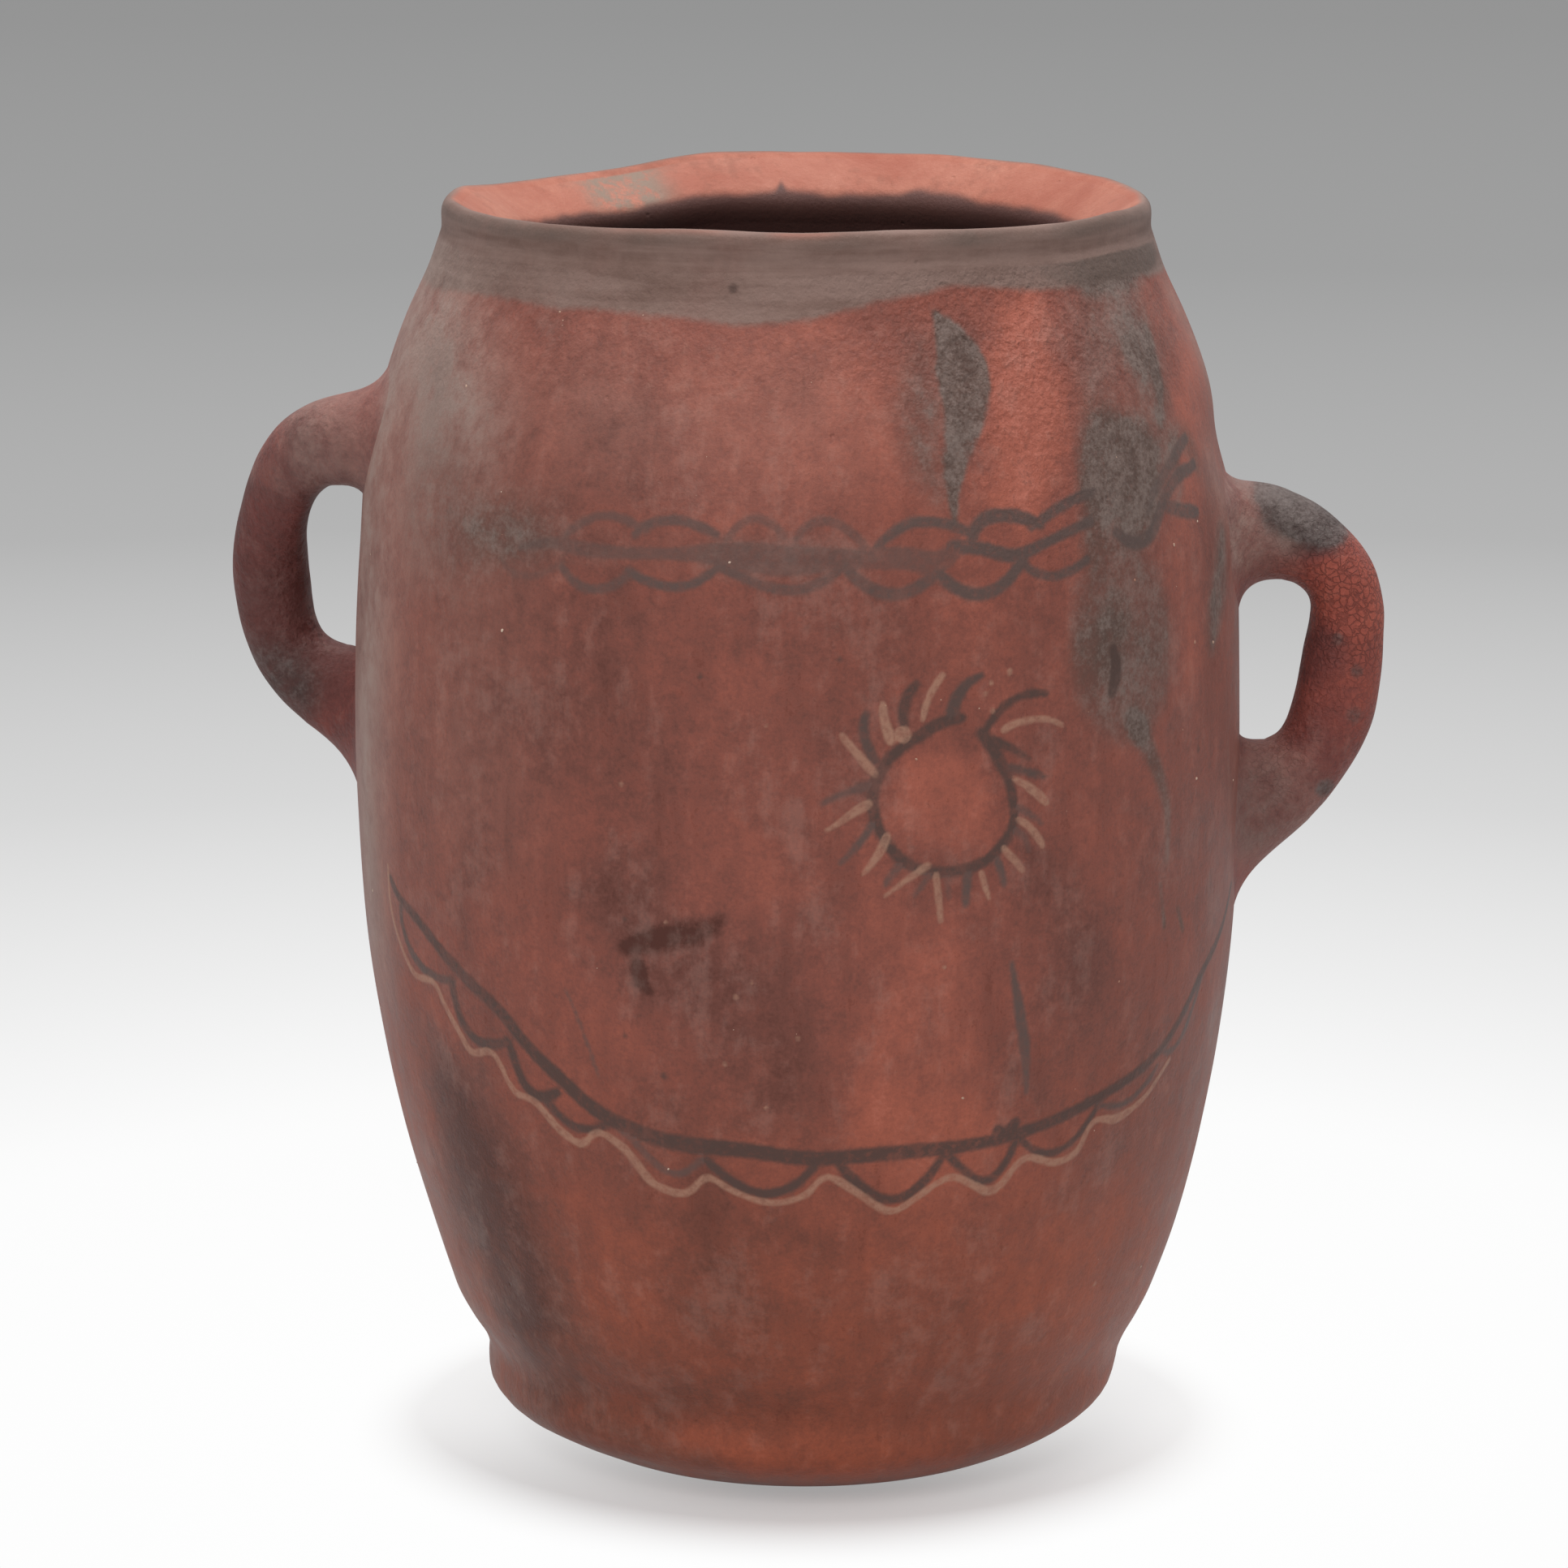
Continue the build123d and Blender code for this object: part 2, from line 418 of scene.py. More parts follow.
    def _profile(self) -> None:
        """Lays out the profile from the underside's centre, over the lip, to the floor's centre."""
        under = np.array([[r, 0.0] for r in self.under_rings])
        t = np.linspace(0, 1, self.foot_rows + 1)[:-1, None]
        a, b, c = (np.array(p) for p in self.foot)
        foot = (1 - t) ** 2 * a + 2 * t * (1 - t) * b + t * t * c
        heights = np.arange(self.outside[0][0], self.outside[-1][0], self.outer_step)
        wall = np.stack([self.radius(heights), heights], 1)
        lip = flow(np.array(self.lip) + [0, self.crest], self.lip_step)
        bevel = flow(np.array(self.bevel) + [0, self.crest], self.lip_step)[1:]
        inside = flow(self.inside, self.inner_step)[1:]
        inside[-1, 0] = 0.0
        floor = self.inside[-1][1]
        inside[inside[:, 1] < floor + 0.05, 1] = floor
        parts = [under, foot, wall, lip, bevel, inside]
        zones = [Zone.UNDERSIDE, Zone.OUTSIDE, Zone.OUTSIDE, Zone.LIP, Zone.BEVEL, Zone.INSIDE]
        self.profile = np.concatenate(parts)
        self.zone = np.concatenate([np.full(len(p), z.value) for p, z in zip(parts, zones)])
        high = self.profile[:, 1]
        weight = np.where(self.zone == Zone.OUTSIDE.value, ease(*self.outside_sway, high), 1.0)
        weight = np.where(self.zone == Zone.INSIDE.value, 0.7 * ease(*self.inside_sway, high), weight)
        weight = np.where(self.zone == Zone.BEVEL.value, 0.7 + 0.3 * ease(*self.bevel_sway, high), weight)
        self.lip_share = np.where(self.zone == Zone.UNDERSIDE.value, 0.0, weight)

    def _surface(self) -> None:
        """Turns the profile about the axis, with the lean, the lip's waves and the lumps of the clay."""
        r, z = self.profile[:, 0:1], self.profile[:, 1:2]
        travel = np.gradient(self.profile, axis=0)
        across = np.stack([travel[:, 1], -travel[:, 0]], 1)
        across /= np.linalg.norm(across, axis=1, keepdims=True)
        angle = np.radians(self.turn)[None, :]
        place = np.stack([r * np.sin(angle), -r * np.cos(angle), z + 0 * angle], -1)
        broad, fine = self.lump_sizes
        lumps = self.noise.at(place, broad) * self.lump + self.noise.at(place + 500, fine) * self.lump * 0.4
        streaks = self.noise.at(place * [1, 1, 0.2] + 900, self.facet_size) * self.facet
        still = (self.zone == Zone.UNDERSIDE.value)[:, None]
        outside = (self.zone == Zone.OUTSIDE.value)[:, None]
        push = np.where(still, 0.0, (lumps + streaks) * ease(0, 16, z))
        facing = (1 + np.cos(np.radians(self.turn - self.kink_turn))) / 2
        share = self.kink_least + (1 - self.kink_least) * facing
        waist = smooth_through(z, *np.array(self.kink).T) * outside
        for turn, height, wide_turn, tall, depth in self.dents:
            away = wrapped(self.turn[None, :] - turn) / wide_turn
            push = push - outside * depth * np.exp(-(away**2) - ((z - height) / tall) ** 2)
        rise = self.lip_share[:, None] * self.lip_rise(self.turn)[None, :]
        wide = np.maximum(r + across[:, 0:1] * push + waist * share[None, :], 0) * (r > 0)
        self.grid = np.stack([
            wide * np.sin(angle) + self.lean(z),
            -wide * np.cos(angle),
            z + across[:, 1:2] * push + rise,
        ], -1)
        self.normals = grid_normals(self.grid)
        self.normals[0], self.normals[-1] = (0, 0, -1), (0, 0, 1)

    def wall_point(self, turn: np.ndarray, height: np.ndarray) -> tuple[np.ndarray, np.ndarray]:
        """Finds places on the outer wall.

        Args:
            turn: Degrees from the front.
            height: Heights in millimetres.

        Returns:
            Points and outward normals.
        """
        rows = np.where(self.zone == Zone.OUTSIDE.value)[0]
        level = np.interp(height, self.profile[rows, 1], np.arange(len(rows)))
        column = ((turn + 180) % 360) / 360 * self.columns
        return self.read(self.grid[rows], level, column), self.read(self.normals[rows], level, column)

    def read(self, values: np.ndarray, level: np.ndarray, column: np.ndarray) -> np.ndarray:
        """Reads a grid of values between its points.

        Args:
            values: Rows by columns, with or without a third axis.
            level: Row places.
            column: Column places.

        Returns:
            The values there.
        """
        j = np.clip(level.astype(int), 0, len(values) - 2)
        i = column.astype(int) % self.columns
        k = (i + 1) % self.columns
        v, u = level - j, column - np.floor(column)
        if values.ndim == 3:
            v, u = v[..., None], u[..., None]
        low = values[j, i] * (1 - u) + values[j, k] * u
        return low * (1 - v) + (values[j + 1, i] * (1 - u) + values[j + 1, k] * u) * v


@dataclass(frozen=True)
class Smudge:
    """A smear of smoke, of warmth, or of painted sheen with grey patches, on the clay: a line of (turn,
    height, half width) with soft edges.
    """

    tint: Tint
    line: tuple
    soft: float
    strength: float


@dataclass(frozen=True)
class Stroke:
    """One curved brush stroke between two places on the wall."""

    start: tuple
    end: tuple
    bow: float
    half: float = 2.3
    tip: float = 2.3
    tone: float = 1.0
    cream: bool = False
    lean: float = 1.0


def scallop_strokes() -> list[Stroke]:
    """Lists the scallops under the swag, those above and below the chain, and the strokes of its hook.

    Returns:
        The strokes, each from a row of start, end, bow, lean, half width and tone.
    """
    swag = (
        (-61.8, 235.9, -49.8, 213.6, -10.8, 0.8, 1.8, 0.9),
        (-50.4, 214.2, -40.5, 194.2, -12.8, 1.0, 2.1, 0.95),
        (-40.9, 194.7, -33.3, 176.7, -9.8, 1.5, 2.2, 1.0),
        (-36.0, 174.9, -25.7, 167.4, -7.5, 1.1, 1.8, 0.95),
        (-24.2, 164.3, -13.4, 155.5, -9.8, 1.6, 1.4, 0.65),
        (-12.7, 155.5, 1.8, 155.3, -13.1, 1.1, 1.9, 0.95), (4.4, 155.4, 18.6, 155.0, -16.2, 1.1, 2.0, 1.0),
        (19.0, 156.4, 29.3, 158.0, -14.2, 1.3, 1.8, 0.95),
        (30.0, 158.7, 42.2, 165.3, -10.9, 0.9, 1.6, 0.95), (42.3, 167.3, 54.3, 176.4, -6.7, 1.0, 1.3, 0.9),
        (54.9, 182.6, 65.1, 207.4, -8.4, 0.6, 1.3, 0.85), (26.3, 163.9, 28.8, 165.6, -2.9, 1.0, 2.9, 1.1),
        (-30.5, 219.5, -26.8, 186.9, 0.6, 1.0, 0.5, 0.7),
    )
    chain = (
        (-30.3, 394.2, -19.1, 398.2, 6.8, 0.95, 1.6, 0.55),
        (-20.6, 396.8, -10.1, 398.1, 5.6, 0.85, 1.8, 0.7), (-8.9, 396.4, -1.8, 397.9, 7.2, 1.05, 1.6, 0.5),
        (-0.3, 396.7, 8.3, 393.4, 8.1, 0.75, 1.6, 0.55), (9.7, 393.3, 22.3, 395.9, 7.8, 0.9, 2.0, 0.8),
        (21.9, 394.7, 31.7, 398.4, 6.9, 0.65, 2.6, 0.86), (30.3, 397.8, 40.6, 408.2, 1.6, 1.3, 2.1, 0.8),
        (-40.0, 382.9, -30.4, 385.0, -6.2, 0.8, 1.3, 0.3),
        (-30.6, 382.6, -21.0, 382.8, -7.4, 0.95, 1.8, 0.65),
        (-21.4, 383.0, -10.0, 385.5, -6.2, 1.1, 1.7, 0.8), (-10.0, 386.1, 4.8, 385.2, -7.7, 1.35, 1.9, 0.7),
        (5.7, 386.4, 17.4, 383.7, -9.3, 1.0, 2.3, 0.8), (17.4, 383.4, 29.0, 386.0, -10.5, 0.9, 2.5, 0.83),
        (28.8, 384.2, 38.7, 383.4, -5.3, 0.9, 1.8, 0.8), (54.7, 397.9, 63.1, 392.4, -0.3, 1.0, 2.9, 0.82),
        (52.1, 404.1, 63.4, 421.2, 1.5, 1.5, 2.5, 0.75), (50.7, 397.2, 52.1, 404.1, 0.0, 1.0, 1.5, 0.6),
    )
    rows = swag + chain
    return [Stroke(r[0:2], r[2:4], r[4], r[6], r[6], r[7], lean=r[5]) for r in rows]


def ray_strokes() -> list[Stroke]:
    """Lists the rays around the painted ring, dark and cream in turn.

    Returns:
        The strokes, each from a row of start, end, bow, half width, tip and, if dark, tone.
    """
    dark = (
        (9.3, 313.0, 8.2, 331.2, 2.2, 2.0, 1.8, 0.9), (12.8, 326.5, 14.4, 341.5, 2.3, 2.2, 2.0, 0.95),
        (18.8, 327.9, 22.7, 343.5, 3.1, 3.0, 1.5, 0.9), (23.2, 321.4, 31.8, 334.1, 5.6, 1.6, 1.6, 0.95),
        (24.1, 318.8, 29.4, 309.9, 0.3, 2.0, 1.0, 0.95), (26.3, 307.4, 31.5, 302.3, 0.4, 1.8, 1.2, 0.9),
        (27.3, 292.2, 31.2, 284.3, 0.5, 1.6, 0.9, 0.6), (27.2, 283.4, 29.2, 274.6, 1.4, 1.5, 0.7, 0.5),
        (25.0, 272.0, 25.9, 262.3, 0.4, 1.6, 1.3, 0.8), (20.9, 269.3, 20.7, 255.9, 0.1, 1.8, 1.4, 0.85),
        (18.1, 268.5, 18.5, 259.1, 0.1, 1.2, 0.7, 0.5), (16.2, 269.5, 14.2, 260.8, 0.0, 1.5, 1.0, 0.6),
        (12.4, 273.3, 10.4, 265.1, -0.4, 1.8, 1.0, 0.65), (8.9, 288.8, 5.0, 274.8, 1.0, 1.8, 0.9, 0.8),
        (8.7, 304.0, 2.8, 297.2, -0.6, 1.8, 1.0, 0.8),
    )
    cream = (
        (9.2, 308.4, 5.2, 323.1, 0.2, 1.9, 1.4), (11.2, 320.5, 10.2, 334.4, 0.5, 2.2, 1.6),
        (15.2, 328.3, 17.7, 344.5, 1.3, 1.2, 1.8), (25.7, 321.9, 34.2, 321.3, 3.4, 1.8, 0.9),
        (27.1, 303.0, 31.8, 292.5, 0.8, 1.3, 2.0), (27.8, 287.2, 31.2, 275.6, 1.3, 1.3, 1.6),
        (25.8, 276.5, 28.4, 267.0, 0.1, 1.5, 1.5), (22.8, 267.7, 23.9, 257.1, -0.3, 1.3, 1.0),
        (16.8, 268.2, 17.4, 250.2, 0.0, 1.6, 1.1), (15.7, 272.1, 10.4, 261.2, -0.1, 1.8, 0.6),
        (10.7, 283.9, 7.7, 269.8, 0.7, 2.2, 0.9), (8.5, 297.0, 3.2, 287.1, 0.1, 2.1, 0.6),
    )
    made = [Stroke(r[0:2], r[2:4], *r[4:]) for r in dark]
    return made + [Stroke(r[0:2], r[2:4], *r[4:], cream=True) for r in cream]


def grow(seat: Object, tree: NodeTree, values: dict) -> Mesh:
    """Runs a node tree on an object, which is then removed.

    Args:
        seat: Object with the mesh that the tree starts from.
        tree: The node tree.
        values: Values for its inputs, by name.

    Returns:
        The mesh that the tree makes.
    """
    modifier = seat.modifiers.new(tree.name, "NODES")
    modifier.node_group = tree
    for item in tree.interface.items_tree:
        if item.item_type == "SOCKET" and item.in_out == "INPUT" and item.name in values:
            modifier[item.identifier] = values[item.name]
    mesh = bpy.data.meshes.new_from_object(seat.evaluated_get(bpy.context.evaluated_depsgraph_get()))
    bpy.data.objects.remove(seat)
    return mesh


class StrokeTree:
    """Node tree that lays one curved brush stroke on every placed point of a flat sheet."""

    def __init__(self, bench: "Bench") -> None:
        """Keeps the bench that wires the tree."""
        self.bench = bench

    def lay(self, strokes: list[Stroke], material: Material, seed: int) -> list[np.ndarray]:
        """Lays the strokes and reads them back as flat lines.

        Args:
            strokes: The strokes to lay.
            material: Finish that the tree sets on the lines.
            seed: Seed of the hand's wobble.

        Returns:
            For each stroke its (turn, height, half width, tone) rows.
        """
        mesh = bpy.data.meshes.new("stroke_places")
        mesh.vertices.add(len(strokes))
        starts = np.array([[s.start[0] * DEGREE_MM, s.start[1], 0.0] for s in strokes])
        ends = np.array([[s.end[0] * DEGREE_MM, s.end[1], 0.0] for s in strokes])
        mesh.vertices.foreach_set("co", starts.astype(np.float32).ravel())
        run = ends - starts
        values = {
            "turn": np.arctan2(run[:, 1], run[:, 0]),
            "reach": np.linalg.norm(run, axis=1),
            "number": np.arange(len(strokes), dtype=float),
        }
        for name in ("bow", "half", "tip", "tone", "lean"):
            values[name] = np.array([getattr(s, name) for s in strokes])
        for name, value in values.items():
            slot = mesh.attributes.new(name, "FLOAT", "POINT")
            slot.data.foreach_set("value", value.astype(np.float32))
        sheet = bpy.data.objects.new("stroke_sheet", mesh)
        bpy.context.scene.collection.objects.link(sheet)
        laid = grow(sheet, self.bench.stroke_tree(material), {"Seed": seed})
        size = len(laid.vertices)
        table = np.zeros((size, 5))
        place = np.zeros(size * 3, np.float32)
        laid.vertices.foreach_get("co", place)
        table[:, 0] = place[0::3] / DEGREE_MM
        table[:, 1] = place[1::3]
        for column, name in ((2, "half"), (3, "tone"), (4, "number")):
            value = np.zeros(size, np.float32)
            laid.attributes[name].data.foreach_get("value", value)
            table[:, column] = value
        bpy.data.meshes.remove(laid)
        return [table[np.round(table[:, 4]) == k][:, :4] for k in range(len(strokes))]


class Bench:
    """Wires node trees in short calls."""

    def __init__(self, tree: NodeTree | None = None) -> None:
        """Keeps the tree that is being wired."""
        self.tree = tree

    def node(self, kind: str, inputs: dict | None = None, **settings: object) -> Node:
        """Adds a node.

        Args:
            kind: Blender's type of node.
            inputs: Values or sockets for its inputs, by name or number.
            settings: Properties of the node.

        Returns:
            The node.
        """
        made = self.tree.nodes.new(kind)
        for key, value in settings.items():
            setattr(made, key, value)
        for key, value in (inputs or {}).items():
            self.feed(made.inputs[key], value)
        return made

    def feed(self, socket: NodeSocket, value: object) -> None:
        """Links a socket, or sets its value.

        Args:
            socket: Input to fill.
            value: A socket to link from, or a plain value.
        """
        if isinstance(value, NodeSocket):
            self.tree.links.new(value, socket)
        else:
            socket.default_value = value

    def math(self, operation: str, a: object, b: object = 0.0, clamp: bool = False) -> NodeSocket:
        """Adds one sum and returns its result."""
        return self.node("ShaderNodeMath", {0: a, 1: b}, operation=operation, use_clamp=clamp).outputs[0]

    def add(self, *values: object) -> NodeSocket:
        """Adds values together."""
        return reduce(partial(self.math, "ADD"), values)

    def times(self, *values: object) -> NodeSocket:
        """Multiplies values together."""
        return reduce(partial(self.math, "MULTIPLY"), values)

    def less(self, value: object, taken: object) -> NodeSocket:
        """Takes one value from another."""
        return self.math("SUBTRACT", value, taken)

    def swing(self, value: object, share: object) -> NodeSocket:
        """Centres a value of 0 to 1 on nought and scales it."""
        return self.times(self.less(value, 0.5), share)

    def vector(self, operation: str, a: object, b: object) -> NodeSocket:
        """Adds one sum of vectors and returns its result."""
        return self.node("ShaderNodeVectorMath", {0: a, 1: b}, operation=operation).outputs[0]

    def combine(self, x: object = 0.0, y: object = 0.0, z: object = 0.0) -> NodeSocket:
        """Puts a vector together from its parts."""
        return self.node("ShaderNodeCombineXYZ", {0: x, 1: y, 2: z}).outputs[0]

    def part(self, vector: object, axis: int) -> NodeSocket:
        """Takes one part out of a vector."""
        return self.node("ShaderNodeSeparateXYZ", {0: vector}).outputs[axis]

    def mix(self, share: object, low: object, high: object, blend: str = "MIX") -> NodeSocket:
        """Mixes two colours.

        Args:
            share: How much of the second colour there is.
            low: First colour.
            high: Second colour.
            blend: Blender's way of mixing.

        Returns:
            The mixed colour.
        """
        made = self.node("ShaderNodeMix", data_type="RGBA", blend_type=blend, clamp_factor=True)
        for number, value in ((0, share), (6, low), (7, high)):
            self.feed(made.inputs[number], value)
        return made.outputs[2]

    def span(
        self, value: object, low: float, high: float, to_low: float = 0.0, to_high: float = 1.0,
    ) -> NodeSocket:
        """Maps a value smoothly from one span to another, held at the ends.

        Args:
            value: The value.
            low: Start of the first span.
            high: End of the first span.
            to_low: Start of the second span.
            to_high: End of the second span.

        Returns:
            The mapped value.
        """
        made = self.node("ShaderNodeMapRange", interpolation_type="SMOOTHSTEP")
        for number, item in enumerate((value, low, high, to_low, to_high)):
            self.feed(made.inputs[number], item)
        return made.outputs[0]

    def noise(
        self, place: object, scale: float, detail: float = 3.0, rough: float = 0.55, warp: float = 0.0,
    ) -> NodeSocket:
        """Adds clay noise at a scale in lumps to the metre and returns its value from 0 to 1."""
        inputs = {"Vector": place, "Scale": scale, "Detail": detail, "Roughness": rough, "Distortion": warp}
        return self.node("ShaderNodeTexNoise", inputs).outputs[0]

    def stretch(self, place: object, across: float, up: float) -> NodeSocket:
        """Scales a place across and up."""
        return self.node("ShaderNodeMapping", {"Vector": place, "Scale": (across, across, up)}).outputs[0]

    def field(self, name: str) -> NodeSocket:
        """Reads a field that the mesh carries."""
        return self.node("ShaderNodeAttribute", attribute_name=name).outputs["Fac"]

    def ramp(self, value: object, stops: tuple) -> NodeSocket:
        """Colours a value.

        Args:
            value: The value.
            stops: Rows of (place, colour as seen).

        Returns:
            The colour.
        """
        made = self.node("ShaderNodeValToRGB", {0: value})
        band = made.color_ramp
        while len(band.elements) < len(stops):
            band.elements.new(0.5)
        for element, (place, colour) in zip(band.elements, stops):
            element.position = place
            element.color = linear(*colour)
        return made.outputs[0]

    def open_tree(self, name: str, inputs: tuple) -> NodeOutputs:
        """Starts a geometry tree with its named inputs.

        Args:
            name: Name of the tree.
            inputs: Name, kind of socket and first value of each input.

        Returns:
            The inputs' sockets inside the tree.
        """
        self.tree = bpy.data.node_groups.new(name, "GeometryNodeTree")
        face = self.tree.interface
        face.new_socket("Geometry", in_out="INPUT", socket_type="NodeSocketGeometry")
        for label, kind, start in inputs:
            face.new_socket(label, in_out="INPUT", socket_type=kind).default_value = start
        face.new_socket("Geometry", in_out="OUTPUT", socket_type="NodeSocketGeometry")
        return self.node("NodeGroupInput").outputs

    def close_tree(self, geometry: object, material: Material) -> NodeTree:
        """Sets the finish on what a geometry tree has made, and ends the tree.

        Args:
            geometry: What the tree has made.
            material: Its finish.

        Returns:
            The node tree.
        """
        dressed = self.node("GeometryNodeSetMaterial", {"Geometry": geometry, "Material": material})
        self.node("NodeGroupOutput", {0: dressed.outputs[0]})
        return self.tree

    def store(self, geometry: object, name: str, value: object) -> NodeSocket:
        """Stores a field on the points of a geometry.

        Args:
            geometry: The geometry.
            name: Name of the field.
            value: What it holds.

        Returns:
            The geometry with the field.
        """
        inputs = {"Geometry": geometry, "Name": name, "Value": value}
        kind = {"data_type": "FLOAT", "domain": "POINT"}
        return self.node("GeometryNodeStoreNamedAttribute", inputs, **kind).outputs[0]

    def stored(self, name: str) -> NodeSocket:
        """Reads a field that the points of a geometry carry."""
        return self.node("GeometryNodeInputNamedAttribute", {"Name": name}, data_type="FLOAT").outputs[0]

    def shift(self, geometry: object, offset: object) -> NodeSocket:
        """Moves the points of a geometry."""
        return self.node("GeometryNodeSetPosition", {"Geometry": geometry, "Offset": offset}).outputs[0]

    def copies(self, points: object, thing: object, rotation: object, scale: object) -> NodeSocket:
        """Sets a copy of a thing on every point, as real geometry.

        Args:
            points: Where the copies go.
            thing: What is copied.
            rotation: Rotation of each copy.
            scale: Scale of each copy.

        Returns:
            The copies.
        """
        inputs = {"Points": points, "Instance": thing, "Rotation": rotation, "Scale": scale}
        placed = self.node("GeometryNodeInstanceOnPoints", inputs)
        return self.node("GeometryNodeRealizeInstances", {0: placed.outputs[0]}).outputs[0]

    def stroke_tree(self, material: Material) -> NodeTree:
        """Builds the tree that lays curved strokes on points.

        Args:
            material: Finish set on the strokes.

        Returns:
            The node tree.
        """
        given = self.open_tree("brush_strokes", (
            ("Points", "NodeSocketInt", 15), ("Wobble", "NodeSocketFloat", 0.5), ("Seed", "NodeSocketInt", 3),
        ))
        line = self.node("GeometryNodeMeshLine", {"Count": given["Points"]}, mode="END_POINTS")
        line.inputs["Start Location"].default_value = (0, 0, 0)
        line.inputs["Offset"].default_value = (1, 0, 0)
        spot = self.node("GeometryNodeInputPosition").outputs[0]
        marked = self.store(line.outputs[0], "along", self.part(spot, 0))
        turn, along, half = self.stored("turn"), self.stored("along"), self.stored("half")
        scale = self.combine(self.stored("reach"), 1.0, 1.0)
        real = self.copies(given["Geometry"], marked, self.combine(z=turn), scale)
        leant = self.math("POWER", along, self.stored("lean"))
        arch = self.times(self.times(leant, 4.0), self.less(1.0, leant), self.stored("bow"))
        across = self.times(arch, self.times(self.math("SINE", turn), -1.0))
        bent = self.shift(real, self.combine(across, self.times(arch, self.math("COSINE", turn))))
        moved = self.vector("ADD", spot, self.combine(z=self.times(given["Seed"], 37.7)))
        hand = self.node("ShaderNodeTexNoise", {"Vector": moved, "Scale": 0.09, "Detail": 1.0})
        wobble = self.node("ShaderNodeVectorMath", operation="SCALE")
        self.feed(wobble.inputs[0], self.vector("SUBTRACT", hand.outputs[1], (0.5, 0.5, 0.5)))
        self.feed(wobble.inputs["Scale"], self.times(given["Wobble"], 2.0))
        shaken = self.shift(bent, self.vector("MULTIPLY", wobble.outputs[0], (1, 1, 0)))
        from_middle = self.math("ABSOLUTE", self.less(self.times(along, 2.0), 1.0))
        press = self.less(1.0, self.math("POWER", from_middle, 6.0))
        taper = self.times(self.less(self.stored("tip"), half), along)
        width = self.times(self.add(half, taper), self.add(0.8, self.times(press, 0.2)))
        return self.close_tree(self.store(shaken, "half", width), material)

    def fleck_tree(self, material: Material) -> NodeTree:
        """Builds the tree that scatters small grains over a skin of clay.

        Args:
            material: Finish of the grains.

        Returns:
            The node tree.
        """
        given = self.open_tree("lime_flecks", (
            ("Density", "NodeSocketFloat", 520.0), ("Smallest", "NodeSocketFloat", 0.00022),
            ("Largest", "NodeSocketFloat", 0.00085), ("Seed", "NodeSocketInt", 8),
        ))
        skin = {"Mesh": given["Geometry"], "Density": given["Density"], "Seed": given["Seed"]}
        spread = self.node("GeometryNodeDistributePointsOnFaces", skin)
        grain = self.node("GeometryNodeMeshIcoSphere", {"Radius": 1.0, "Subdivisions": 2}).outputs[0]
        squash = self.node("GeometryNodeTransform", {"Geometry": grain, "Scale": (1.0, 0.75, 0.42)})
        chance = self.node("FunctionNodeRandomValue", {"Seed": given["Seed"]}, data_type="FLOAT")
        grown = self.math("POWER", chance.outputs[1], 3.0)
        size = self.add(given["Smallest"], self.times(grown, self.less(given["Largest"], given["Smallest"])))
        spin = self.node("FunctionNodeRandomValue", {"Seed": 5}, data_type="FLOAT_VECTOR")
        spin.inputs[1].default_value = (0, 0, 6.28)
        facing = self.node("FunctionNodeRotateRotation", rotation_space="LOCAL")
        self.feed(facing.inputs[0], spread.outputs["Rotation"])
        self.feed(facing.inputs[1], spin.outputs[0])
        real = self.copies(spread.outputs[0], squash.outputs[0], facing.outputs[0], size)
        return self.close_tree(real, material)


